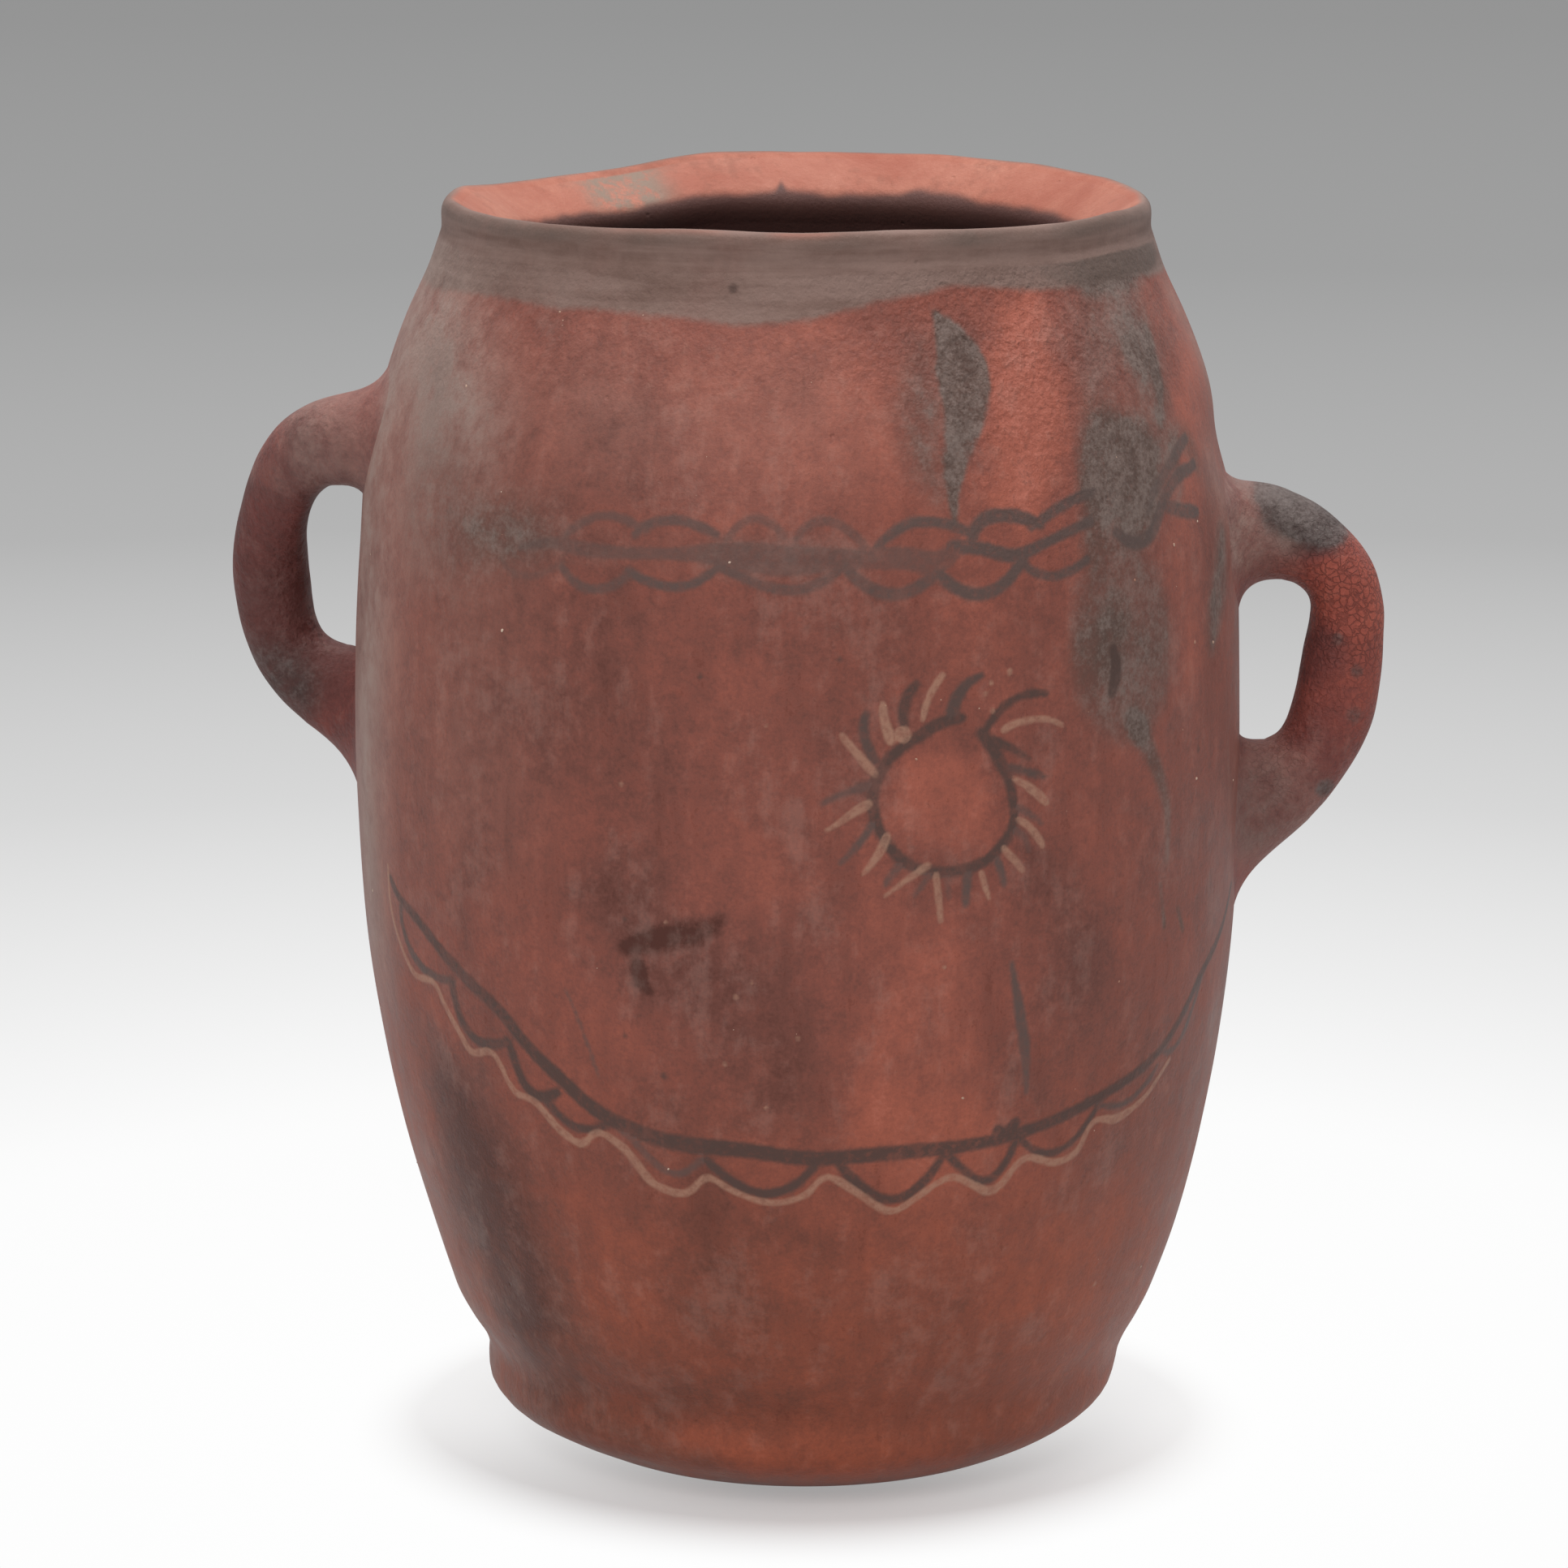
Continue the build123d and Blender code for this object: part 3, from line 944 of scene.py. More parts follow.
@dataclass
class PaintWork:
    """Painted slip, marks of the firing and painted sheen on the outer wall, and the painted shade inside the
    mouth, kept as fields on the jar's grid.

    A spot is (turn in degrees, height, half width), in millimetres. A long line is its tone and its spots.
    A smudge is its softness, its strength and its spots, and smudges are listed by tint.
    """

    jar: JarShape
    band_edge: tuple = (
        (-180, 479), (-150, 482), (-110, 478), (-80, 476), (-46, 479), (-22, 476), (-6, 475), (8, 480),
        (20, 487), (38, 485), (63, 484), (100, 480), (140, 483), (180, 479),
    )
    long_lines: tuple = (
        (1.0, (
            (-64.5, 246.7, 1.5), (-62.6, 241.3, 1.8), (-59.2, 236.8, 2.1), (-47.2, 216, 2.6),
            (-41.5, 205.9, 2.8), (-37.1, 193.2, 2.8), (-32.5, 182.7, 3), (-27.2, 170.9, 3.1),
            (-20.9, 163.9, 3.3), (-6.8, 160.1, 3.1), (-0.5, 157.7, 3), (12.2, 158.3, 3), (25.7, 159.7, 2.6),
            (41, 168.7, 2.3), (54.9, 183.4, 2), (64.6, 207.1, 2), (73.8, 225.8, 1.8), (77, 236, 1.2),
        )),
        (0.55, (
            (-37, 388.5, 1), (-32.2, 391.3, 2.2), (-27.5, 390, 2.6), (-13.5, 390.6, 2.8),
            (-9.5, 390.9, 4.4), (-1.5, 388.9, 5.8), (5.5, 389.4, 3.8), (12.5, 389.2, 4.2), (17.8, 387.6, 4),
            (19.8, 391.5, 3),
        )),
        (0.83, (
            (19.4, 392.2, 3), (22.4, 391.6, 2.6), (28.1, 387.7, 2.6), (32.2, 391.3, 2), (39.6, 397.5, 2),
        )),
        (0.84, (
            (44, 391.8, 1.8), (47.2, 386.7, 2.6), (49.6, 387.1, 2.8), (55, 401.9, 3), (57.4, 406.6, 3),
            (64.4, 410.5, 2.2),
        )),
        (1.0, ((42.7, 348, 1.6), (43.1, 339, 3.2), (42.3, 331, 2.2))),
        (0.8, ((27, 231, 0.9), (28.3, 212, 2.2), (29.4, 196, 2.2), (30.2, 178, 0.9))),
        (0.95, (
            (20.3, 327.9, 1.8), (18.8, 327.6, 2.4), (14.6, 321.7, 2.2), (10.9, 313.5, 2.2),
            (9.1, 303.3, 2.4), (10.4, 282.8, 2.1), (13.6, 272.5, 2.1), (18.5, 269, 2.1), (23.7, 273.1, 2.1),
            (27, 284.9, 2), (26.7, 299.8, 2), (24.5, 313.8, 2.5), (22.8, 321.5, 2.4),
        )),
    )
    cream_line: tuple = (
        (-65.2, 251.2, 0.8), (-65.1, 235.8, 1), (-63, 222, 1.1), (-59.5, 211, 1.3), (-53.9, 209.5, 1.3),
        (-52.7, 204, 1.3), (-49.5, 191.3, 1.5), (-48.2, 186.4, 1.5), (-43.9, 188.1, 1.3),
        (-40.2, 173.1, 1.5), (-38, 171.9, 1.5), (-32.6, 159, 1.8), (-30.7, 156.7, 1.8), (-27.7, 162.7, 1.5),
        (-24.6, 158.4, 1.8), (-19.7, 142.7, 1.8), (-15.8, 140.9, 1.6), (-12.7, 148.1, 1.3),
        (-9.5, 143.1, 1.3), (-4, 138.5, 1.3), (0.1, 141.7, 1.3), (3.1, 149.5, 1.3), (6.5, 143.8, 1.5),
        (12.2, 134.1, 1.5), (16.1, 140.5, 1.3), (19.7, 146.1, 1.5), (26.6, 138.7, 1.8), (30.9, 150.2, 1.5),
        (36.5, 146.3, 1.6), (39.2, 148, 1.5), (42.2, 160.3, 1.3), (46.6, 159.2, 2), (52, 164, 1.3),
        (57.5, 177, 1),
    )
    pale_spots: tuple = (
        (12.7, 322.8, 3.4), (26.6, 344, 1.2), (24.1, 340.4, 1.1), (23.3, 336.4, 1), (24.3, 329.9, 1.1),
        (-8, 222, 1), (-6, 228, 0.8), (-4.6, 178, 0.8), (17.9, 232, 0.8), (-3.9, 327, 0.7), (-22, 302, 0.8),
        (49.3, 87, 1.1), (-16.6, 250, 0.7), (-9.7, 195, 0.7), (-0.5, 206, 0.8),
    )
    dark_spots: tuple = (
        (-22.6, 204, 1), (-17.7, 189, 1), (-21.9, 250, 0.9), (-9.6, 488, 1.6), (61, 300, 1.2),
        (5, 352, 0.9), (-12, 345, 0.8),
    )
    smudges: tuple = (
        (Tint.SMOKE, (
            (10, 0.5, (57.8, 483, 15), (55.1, 469, 25), (53, 452, 29), (50.4, 434, 29), (47.4, 417, 26)),
            (7, 0.56, (46.8, 412, 24), (45.2, 399, 23), (43.4, 387, 18), (43.9, 375, 19), (44.8, 358, 28),
             (45, 341, 29), (46, 328, 19), (47, 318, 6)),
            (8, 0.4, (57.3, 468, 7), (55.5, 455, 10)),
            (6, 0.75, (34, 499, 3), (48, 497, 6), (62, 495, 8), (80, 494, 7)),
            (5, 0.12, (-66, 499, 3), (-50, 500, 4), (-30, 501, 3)),
            (3, 0.35, (61, 462, 3), (59.5, 445, 3), (57, 430, 3)),
            (9, 0.15, (43, 356, 9), (44.5, 338, 12)),
            (3, 0.6, (46.4, 318, 5), (48.8, 307, 4.5), (51.5, 293, 4), (53.1, 279, 3), (53.1, 260, 2)),
            (9, -0.32, (51.5, 452, 6), (49.5, 438, 5)),
            (2, 0.6, (51.8, 251, 1.2), (53, 234, 1.6)),
            (2, 0.6, (56.3, 239, 1.4), (57.7, 230, 1.6)),
            (2.2, 1.0, (20.5, 478, 1.2), (22.2, 470, 5.6), (23.2, 462, 9), (23.3, 454, 10.6),
             (23.2, 445, 8.8), (22.3, 437, 7.2), (21.5, 430, 6), (20.4, 423, 4.6), (20, 417, 3.2),
             (19.8, 411, 1.6), (19.7, 401, 0.8)),
            (12, 0.55, (17.4, 466, 5), (17, 453, 9), (16.2, 441, 11), (16.4, 426, 9), (18.1, 412, 5)),
            (5, 0.5, (57.8, 398, 4), (59.3, 404, 4), (58.5, 416, 5), (64, 420, 7), (65.3, 410, 5)),
            (8, 0.75, (72, 378, 7), (70.5, 364, 10), (67.6, 352, 9), (66, 340, 4)),
            # Darkens the lower left of the jar.
            (16, 0.15, (-50.3, 138, 10), (-50.6, 118, 16), (-50, 98, 13)),
            (9, 0.4, (-34.9, 29, 6), (-25.2, 22, 7), (-17.2, 22, 5)),
            (13, 0.2, (-46, 390, 8), (-36, 398, 12), (-31, 408, 6)),
            (30, 0.34, (-60, 448, 20), (-54, 415, 26), (-47, 398, 22), (-38, 396, 14)),
            (5, 0.2, (-10, 391, 7), (-2, 390, 9), (6, 389, 6)),
            (8, 0.2, (-38, 391, 8), (-20, 391, 10), (0, 390, 10), (16, 389, 8)),
            (5, 0.6, (42, 489, 2), (52, 486, 5), (66, 487, 6), (76, 489, 4)),
            (50, 0.5, (150, 250, 60), (165, 330, 40)),
            (40, 0.4, (-160, 120, 45)),
            (14, 0.6, (118, 430, 18), (121, 360, 14)),
            (36, 0.2, (-50, 380, 26), (-46, 330, 30), (-46, 290, 26)),
        )),
        # Painted sheen and highlights along both sides of the jar as seen from the front, on the shoulder and
        # by the right handle's upper root, with some grey patches of the clay.
        (Tint.HAZE, (
            (26, 1.3, (-62, 462, 18), (-55, 444, 20), (-49, 430, 14)),
            (18, 0.55, (-60, 424, 12), (-58, 402, 12), (-56, 380, 8)),
            (36, 0.18, (-50, 420, 28), (-46, 350, 34), (-46, 290, 30)),
            (34, 1.35, (-80, 478, 22), (-77, 430, 26), (-74, 383, 26), (-73, 345, 24), (-74, 290, 20),
             (-75, 220, 14)),
            (14, 0.6, (80, 470, 8), (84, 440, 8)),
            (34, 0.3, (-30, 445, 20), (0, 440, 20)),
            (16, 0.5, (72, 405, 10), (77, 388, 12), (84, 376, 14)),
        )),
        (Tint.WARMTH, (
            # Darkens the lower left of the jar.
            (24, -1.38, (-54, 165, 10), (-51, 130, 24), (-49, 98, 26), (-45, 76, 14)),
            (12, 1.0, (35.8, 478, 10), (33.3, 453, 15), (30.9, 430, 15), (28.6, 410, 9)),
            (14, 0.6, (77, 453, 12), (67, 432, 10), (58, 379, 9), (59.3, 353, 10), (58, 325, 9)),
            (26, 0.55, (-14, 462, 14), (-9, 447, 18), (-1, 430, 18), (6, 445, 14)),
            (8, 0.5, (18.7, 252, 3), (16.7, 229, 12), (15.8, 210, 19), (16.1, 187, 27), (16.4, 167, 30)),
            (8, 0.8, (17.6, 297, 20)),
            (16, 0.5, (-24, 20, 12), (0, 17, 14), (24, 20, 12)),
            (20, -0.65, (-22.9, 253, 14), (-16.6, 238, 18), (-8.5, 231, 20), (-3.5, 212, 18),
             (-2.5, 189, 14)),
            (20, -0.55, (32, 265, 10), (34.6, 249, 13), (37.6, 222, 12)),
            (18, -0.4, (-24.3, 431, 10), (-25.8, 413, 12)),
            (14, -0.6, (-12.4, 148, 8), (-14.1, 122, 10)),
            (10, -0.5, (-3.9, 129, 7), (4, 118, 6)),
            # Darkens the lower left of the jar, down to the foot.
            (18, -0.9, (-51.6, 66, 12), (-51.9, 46, 12), (-43, 44, 10)),
            (10, 0.6, (-19.8, 31, 6), (-8, 26, 6)),
            (12, 0.4, (-27, 108, 8), (-25.6, 84, 8)),
            (40, -0.35, (-30, 330, 30), (-24, 280, 26)),
            (26, 0.25, (-2, 330, 16), (0, 290, 18)),
            (2.6, -1.1, (-21.7, 239, 3), (-18.7, 242, 5), (-14.5, 246, 4.6), (-10.9, 249, 3.8),
             (-9.4, 253, 1.5)),
            (1.8, -1.3, (-20.4, 232, 2.8), (-19.9, 225, 2.8), (-18.9, 222, 1.2)),
            (40, 0.2, (35, 130, 30), (45, 90, 30)),
        )),
        (Tint.GRIT, (
            (40, 0.8, (30, 465, 40), (34, 400, 30)),
            (20, 0.5, (-60, 480, 40), (0, 485, 40), (60, 480, 40)),
        )),
    )

    back_from: float = 103.0
    back_to: float = 245.0
    back_waves: int = 13
    back_seed: int = 17
    back_chain: tuple = (108, 238, 9.3)
    back_scallops: tuple = (110, 234, 10.9)
    chafe_turn: float = -6.0
    mouth_radius: float = 150.0
    hand_seed: int = 4
    line_step: float = 3.0
    smudge_step: float = 6.0
    run: int = 8
    margin: float = 4.0

    def __post_init__(self) -> None:
        """Starts every field empty."""
        shape = self.jar.grid.shape[:2]
        self.fields = {name: np.full(shape, EMPTY.get(name, 0.0)) for name in FIELDS}
        self.outer = np.where(self.jar.zone == Zone.OUTSIDE.value)[0]
        self.height = self.jar.profile[self.outer, 1]

    def _near(self, line: np.ndarray, margin: float) -> tuple[np.ndarray, np.ndarray]:
        """Picks the part of the grid around a line.

        Args:
            line: Rows of (turn, height, half width, tone).
            margin: How far round the line to look, in millimetres.

        Returns:
            Grid rows and grid columns.
        """
        low, high = line[:, 1].min() - margin, line[:, 1].max() + margin
        rows = self.outer[(self.height >= low) & (self.height <= high)]
        left, right = line[:, 0].min(), line[:, 0].max()
        half = (right - left) / 2 + margin / DEGREE_MM * 1.3
        away = np.abs(wrapped(self.jar.turn - (left + right) / 2))
        return rows, np.where(away <= min(half, 180))[0]

    def _distance(
        self, line: np.ndarray, rows: np.ndarray, columns: np.ndarray,
    ) -> tuple[np.ndarray, np.ndarray]:
        """Measures from grid points to a line of varying width.

        Args:
            line: Rows of (turn, height, half width, tone).
            rows: Grid rows.
            columns: Grid columns.

        Returns:
            Distance to the line's edge, and the tone of its nearest place.
        """
        scale = np.radians(self.jar.profile[rows, 0])[:, None]
        middle = line[:, 0].mean()
        x = wrapped(self.jar.turn[columns] - middle)[None, :] * scale
        y = np.repeat(self.jar.profile[rows, 1][:, None], len(columns), 1)
        best, tone = np.full(x.shape, 1e3), np.zeros(x.shape)
        if len(line) == 1:
            line = np.repeat(line, 2, 0)
        for a, b in zip(line, line[1:]):
            ax, bx = (a[0] - middle) * scale, (b[0] - middle) * scale
            dx, dy = bx - ax, b[1] - a[1]
            t = np.clip(((x - ax) * dx + (y - a[1]) * dy) / np.maximum(dx * dx + dy * dy, 1e-9), 0, 1)
            away = np.hypot(x - ax - t * dx, y - a[1] - t * dy) - (a[2] + (b[2] - a[2]) * t)
            nearer = away < best
            best = np.where(nearer, away, best)
            tone = np.where(nearer, a[3] + (b[3] - a[3]) * t, tone)
        return best, tone

    def _drawn(self, spots: tuple, tone: float, step: float) -> np.ndarray:
        """Draws a smooth line over the wall.

        Args:
            spots: Rows of (turn, height, half width).
            tone: Tone of the whole line.
            step: Distance between the drawn points in millimetres.

        Returns:
            Rows of (turn, height, half width, tone).
        """
        line = np.array([(*spot, tone) for spot in spots], float)
        unrolled = np.array([DEGREE_MM, 1, 1, 1])
        return flow(line * unrolled, step) / unrolled if len(line) > 1 else line

    def stroke(self, line: np.ndarray, cream: bool) -> None:
        """Paints one line of slip into the fields.

        Args:
            line: Rows of (turn, height, half width, tone).
            cream: Whether the slip is cream or dark.
        """
        rows, columns = self._near(line, CLEAR + self.margin)
        if not len(rows) or not len(columns):
            return
        away, tone = self._distance(line, rows, columns)
        name = "cream_slip" if cream else "dark_slip"
        here = np.ix_(rows, columns)
        nearer = away < self.fields[name][here]
        self.fields[name][here] = np.where(nearer, away, self.fields[name][here])
        if not cream:
            self.fields["dark_tone"][here] = np.where(nearer, tone, self.fields["dark_tone"][here])

    def smear(self, smudge: Smudge) -> None:
        """Adds one smudge to its field.

        Args:
            smudge: The smudge.
        """
        line = self._drawn(smudge.line, 1.0, self.smudge_step)
        rows, columns = self._near(line, line[:, 2].max() + smudge.soft + self.margin)
        if not len(rows) or not len(columns):
            return
        away, _ = self._distance(line, rows, columns)
        here = np.ix_(rows, columns)
        self.fields[smudge.tint.value][here] += smudge.strength * (1 - ease(-smudge.soft, smudge.soft, away))

    def paint(self, slip: Material) -> None:
        """Paints the whole jar.

        Args:
            slip: Finish that the stroke tree sets on its lines.
        """
        brush = StrokeTree(Bench())
        strokes = ray_strokes() + scallop_strokes() + self.back_strokes()
        for stroke, line in zip(strokes, brush.lay(strokes, slip, self.hand_seed)):
            self.stroke(line, stroke.cream)
        self._long_lines()
        for tint, rows in self.smudges:
            for soft, strength, *spots in rows:
                self.smear(Smudge(tint, tuple(spots), soft, strength))
        self._mouth()

    def _long_lines(self) -> None:
        """Paints the listed lines on the front, then the swag and its cream edge on the back."""
        for spot, pale in [(s, True) for s in self.pale_spots] + [(s, False) for s in self.dark_spots]:
            self.stroke(np.array([(*spot, 1.0)] * 2), pale)
        drawn = [(self._drawn(line, tone, self.line_step), False) for tone, line in self.long_lines]
        drawn.append((self._drawn(self.cream_line, 1.0, self.line_step), True))
        turns = np.linspace(self.back_from, self.back_to, 90)
        low = self.back_swag(turns)
        round_back = (turns - self.back_from) / (self.back_to - self.back_from)
        scallop = np.abs(np.sin(np.radians(round_back * 180 * self.back_waves)))
        level = 0 * turns
        drawn.append((np.stack([turns, low, level + 2.8, level + 0.9], 1), False))
        drawn.append((np.stack([turns, low - 10 - 9 * scallop, level + 1.8, level + 1], 1), True))
        for line, pale in drawn:
            for k in range(0, len(line) - 1, self.run):
                self.stroke(line[k:k + self.run + 1], pale)

    def back_swag(self, turn: np.ndarray) -> np.ndarray:
        """Height of the swag on the unseen back, hung between the handles as on the front."""
        return 156 + 88 * np.abs((np.asarray(turn, float) - 174) / 71) ** 2.2

    def back_strokes(self) -> list[Stroke]:
        """Repeats the chain and scallops on the unseen back, at the front's spacing with a seeded hand.

        Returns:
            The strokes.
        """
        rng = np.random.default_rng(self.back_seed)
        made = []
        for turn in np.arange(*self.back_chain):
            level = 390 + 2.0 * math.sin(math.radians(turn * 2.3))
            step = 8.6 + rng.uniform(-0.5, 0.5)
            tone = 0.6 + 0.4 * rng.uniform()
            for start, bow, slack in ((turn, 12, 1.0), (turn + 4, -13, 1.5)):
                end = (start + step, level + rng.uniform(-1, 1))
                made.append(Stroke((start, level), end, bow + rng.uniform(-slack, slack), 2.2, 2.2, tone))
        for turn in np.arange(*self.back_scallops):
            start, end = ((t, float(self.back_swag(t)) - 2) for t in (turn, turn + 10.4))
            made.append(Stroke(start, end, -10 + rng.uniform(-2, 2), 1.8, 1.8, 0.85))
        return made

    def _chafe(self, spread: float) -> np.ndarray:
        """How much of the lip's chafed stretch each column has, over a spread in degrees."""
        return np.exp(-(((self.jar.turn - self.chafe_turn) / spread) ** 2))

    def _mouth(self) -> None:
        """Sets the rim's dark band, the bare bevel and the painted shade inside the mouth."""
        jar = self.jar
        ring = ring_points(jar.turn, self.mouth_radius)
        edge = smooth_through(jar.turn, *np.array(self.band_edge, float).T)
        edge = edge + jar.noise.at(ring, 24) * 1.6
        rows = np.isin(jar.zone, [Zone.OUTSIDE.value, Zone.LIP.value])
        self.fields["band"][rows] = np.maximum(jar.profile[rows, 1][:, None] - edge[None, :], BELOW_BAND)
        self._lip(ring)
        bevel = jar.zone == Zone.BEVEL.value
        radius, height = jar.profile[bevel].T
        self.fields["bare"][bevel] = ease(477, 486, height)[:, None]
        # The painted shade reaches up the bevel to a ragged edge, which rises sharply at one narrow place at
        # the back.
        shade_edge_lift = 2.6 * np.exp(-(wrapped(jar.turn + 177) / 0.8) ** 2)
        shade_edge_lift = shade_edge_lift + jar.noise.at(ring + 90, 12) * 1.5 + jar.noise.at(ring + 130, 40) * 1.6
        self.fields["inside"][bevel] = 1 - ease(493.0, 496.4, height[:, None] - shade_edge_lift[None, :])
        self.fields["inside"][jar.zone == Zone.INSIDE.value] = 1.0
        scuff = 1.3 * np.exp(-((np.abs(wrapped(jar.turn + 145)) / 9) ** 4))
        self.fields["grey"][bevel] = scuff[None, :] * ease(114, 118, radius)[:, None]

    def _lip(self, ring: np.ndarray) -> None:
        """Wears and blackens the lip.

        Args:
            ring: Places round the mouth where the noise is read.
        """
        jar = self.jar
        lip = jar.zone == Zone.LIP.value
        radius, height = jar.profile[lip].T
        front = ease(88, 62, np.abs(jar.turn)) * (1 - 0.75 * self._chafe(18))
        over = 2.8 * front + jar.noise.at(ring + 40, 17) * 0.7
        bare = ease(138.2, 134.8, radius[:, None] + over[None, :])
        chafed = np.clip(0.5 + jar.noise.at(ring + 20, 22), 0, 1) * (0.12 + 0.88 * self._chafe(20))
        worn = np.exp(-(((radius - 139.2) / 0.9) ** 2))[:, None] * chafed[None, :]
        sooty = 0.42 + 0.3 * jar.noise.at(ring + 60, 26)
        sooty = sooty + 0.2 * ease(20, 60, jar.turn) - 0.2 * self._chafe(24)
        edge_share = ease(136.6, 139.6, radius) * ease(-9.0, -4.0, height - jar.crest)
        self.fields["smoke"][lip] = edge_share[:, None] * sooty[None, :]
        self.fields["bare"][lip] = np.maximum(bare, 0.5 * worn * (height > jar.crest - 4)[:, None])


class Mottle:
    """Place on the jar and the noises of the clay, which all layers of a finish read."""

    def __init__(self, b: Bench) -> None:
        """Wires the noises.

        Args:
            b: Bench of the tree.
        """
        self.place = b.node("ShaderNodeTexCoord").outputs["Object"]
        self.broad = b.noise(self.place, 8.0, 5.0, 0.6)
        self.patch = b.noise(self.place, 25.0, 6.0, 0.66, 0.4)
        self.speck = b.noise(self.place, 125.0, 6.0, 0.7)
        self.grain = b.noise(self.place, 620.0, 4.0, 0.7)
        self.streak = b.noise(b.stretch(self.place, 84.0, 17.0), 1.0, 5.0, 0.68)


@dataclass(frozen=True)
class ClayFinish:
    """Burnished clay with slip, paint, marks of the firing, painted sheen and the painted shade inside the
    mouth, wired as one node tree.
    """

    name: str
    crackle: float = 0.0
    rough: float = 0.52
    plum: tuple = (85, 45, 36)
    brown: tuple = (120, 71, 61)
    brick: tuple = (144, 82, 69)
    orange: tuple = (173, 97, 79)
    peach: tuple = (195, 117, 99)
    # grey of the clay's ash patches, and the colour of the painted sheen
    ash_and_sheen: tuple = (164, 142, 132)
    soot: tuple = (83, 71, 64)
    rim_slip: tuple = (128, 104, 95)
    salmon: tuple = (181, 116, 96)
    # painted shade inside the mouth
    inside_shade: tuple = (84, 60, 57)
    dark_slip: tuple = (83, 63, 57)
    thin_slip: tuple = (96, 79, 74)
    gleam: float = 0.26
    sheen: float = 0.04
    sheen_rough: float = 0.45
    cream_slip: tuple = (178, 134, 112)
    deep_salmon: tuple = (163, 94, 76)
    dark_salmon: tuple = (146, 92, 76)
    pale_salmon: tuple = (206, 150, 124)
    grey_salmon: tuple = (142, 120, 106)
    crack: tuple = (64, 32, 31)

    def build(self) -> Material:
        """Wires the finish.

        Returns:
            The material.
        """
        material = bpy.data.materials.new(self.name)
        material.use_nodes = True
        tree = material.node_tree
        tree.nodes.clear()
        b = Bench(tree)
        mottle = Mottle(b)
        colour = self._clay(b, mottle)
        colour, worn = self._marks(b, mottle, colour)
        colour, slip_height = self._slip(b, mottle, colour)
        crack, crack_colour = self._crackle(b, mottle, colour)
        pebble = b.noise(mottle.place, 330.0, 2.0, 0.5)
        shader = b.node("ShaderNodeBsdfPrincipled", {"Base Color": crack_colour})
        shader.inputs["Specular IOR Level"].default_value = self.gleam
        shader.inputs["Sheen Weight"].default_value = self.sheen
        shader.inputs["Sheen Roughness"].default_value = self.sheen_rough
        rough = b.add(self.rough, b.swing(mottle.patch, 0.35), b.swing(mottle.speck, 0.25))
        b.feed(shader.inputs["Roughness"], b.math("ADD", rough, b.times(worn, 0.12), True))
        grit = b.field("grit")
        height = b.add(
            b.swing(mottle.grain, b.add(0.3, b.times(grit, 0.35))),
            b.swing(mottle.speck, b.add(0.5, b.times(grit, 0.9))),
            b.swing(mottle.streak, 0.18),
            b.swing(pebble, b.times(grit, 1.5)),
            b.add(slip_height, self._pits(b, mottle.place)),
            crack,
        )
        bump = b.node("ShaderNodeBump", {"Height": height, "Strength": 1.0, "Distance": MM})
        b.feed(shader.inputs["Normal"], bump.outputs[0])
        b.node("ShaderNodeOutputMaterial", {0: shader.outputs[0]})
        return material

    def _clay(self, b: Bench, mottle: Mottle) -> NodeSocket:
        """Mottled red slip, from plum to peach.

        Args:
            b: Bench of the tree.
            mottle: Noises of the clay.

        Returns:
            The colour.
        """
        place, patch, speck = mottle.place, mottle.patch, mottle.speck
        broad, streak, grain = mottle.broad, mottle.streak, mottle.grain
        heat = b.add(b.times(b.field("warmth"), 0.34), 0.47)
        for value, share in ((broad, 0.5), (patch, 0.5), (streak, 0.22), (speck, 0.62), (grain, 0.5)):
            heat = b.add(heat, b.swing(value, share))
        shades = (self.plum, self.brown, self.brick, self.orange, self.peach)
        colour = b.ramp(heat, tuple(zip((0.0, 0.3, 0.52, 0.78, 1.0), shades)))
        # Darker and redder towards the bottom of the jar.
        low_down = b.span(b.part(place, 2), 0.24, 0.05)
        colour = b.mix(low_down, colour, (1.0, 0.88, 0.7, 1.0), "MULTIPLY")
        dusty = b.span(b.add(streak, b.less(speck, patch)), 0.5, 0.85)
        colour = b.mix(b.times(dusty, 0.16), colour, tinted(self.ash_and_sheen))
        dirt = b.span(b.add(speck, b.less(grain, streak)), 0.62, 0.85)
        return b.mix(b.times(dirt, 0.4), colour, tinted(self.plum, -14))

    def _marks(self, b: Bench, mottle: Mottle, colour: object) -> tuple[NodeSocket, NodeSocket]:
        """Painted sheen and highlights with some grey patches, smoke, the rim's band, the bare bevel and the
        painted shade inside the mouth.

        Args:
            b: Bench of the tree.
            mottle: Noises of the clay.
            colour: Clay colour so far.

        Returns:
            The colour and the share of matt, worn surface.
        """
        place, broad, patch, speck = mottle.place, mottle.broad, mottle.patch, mottle.speck
        wisp = b.noise(place, 560.0, 4.0, 0.7)
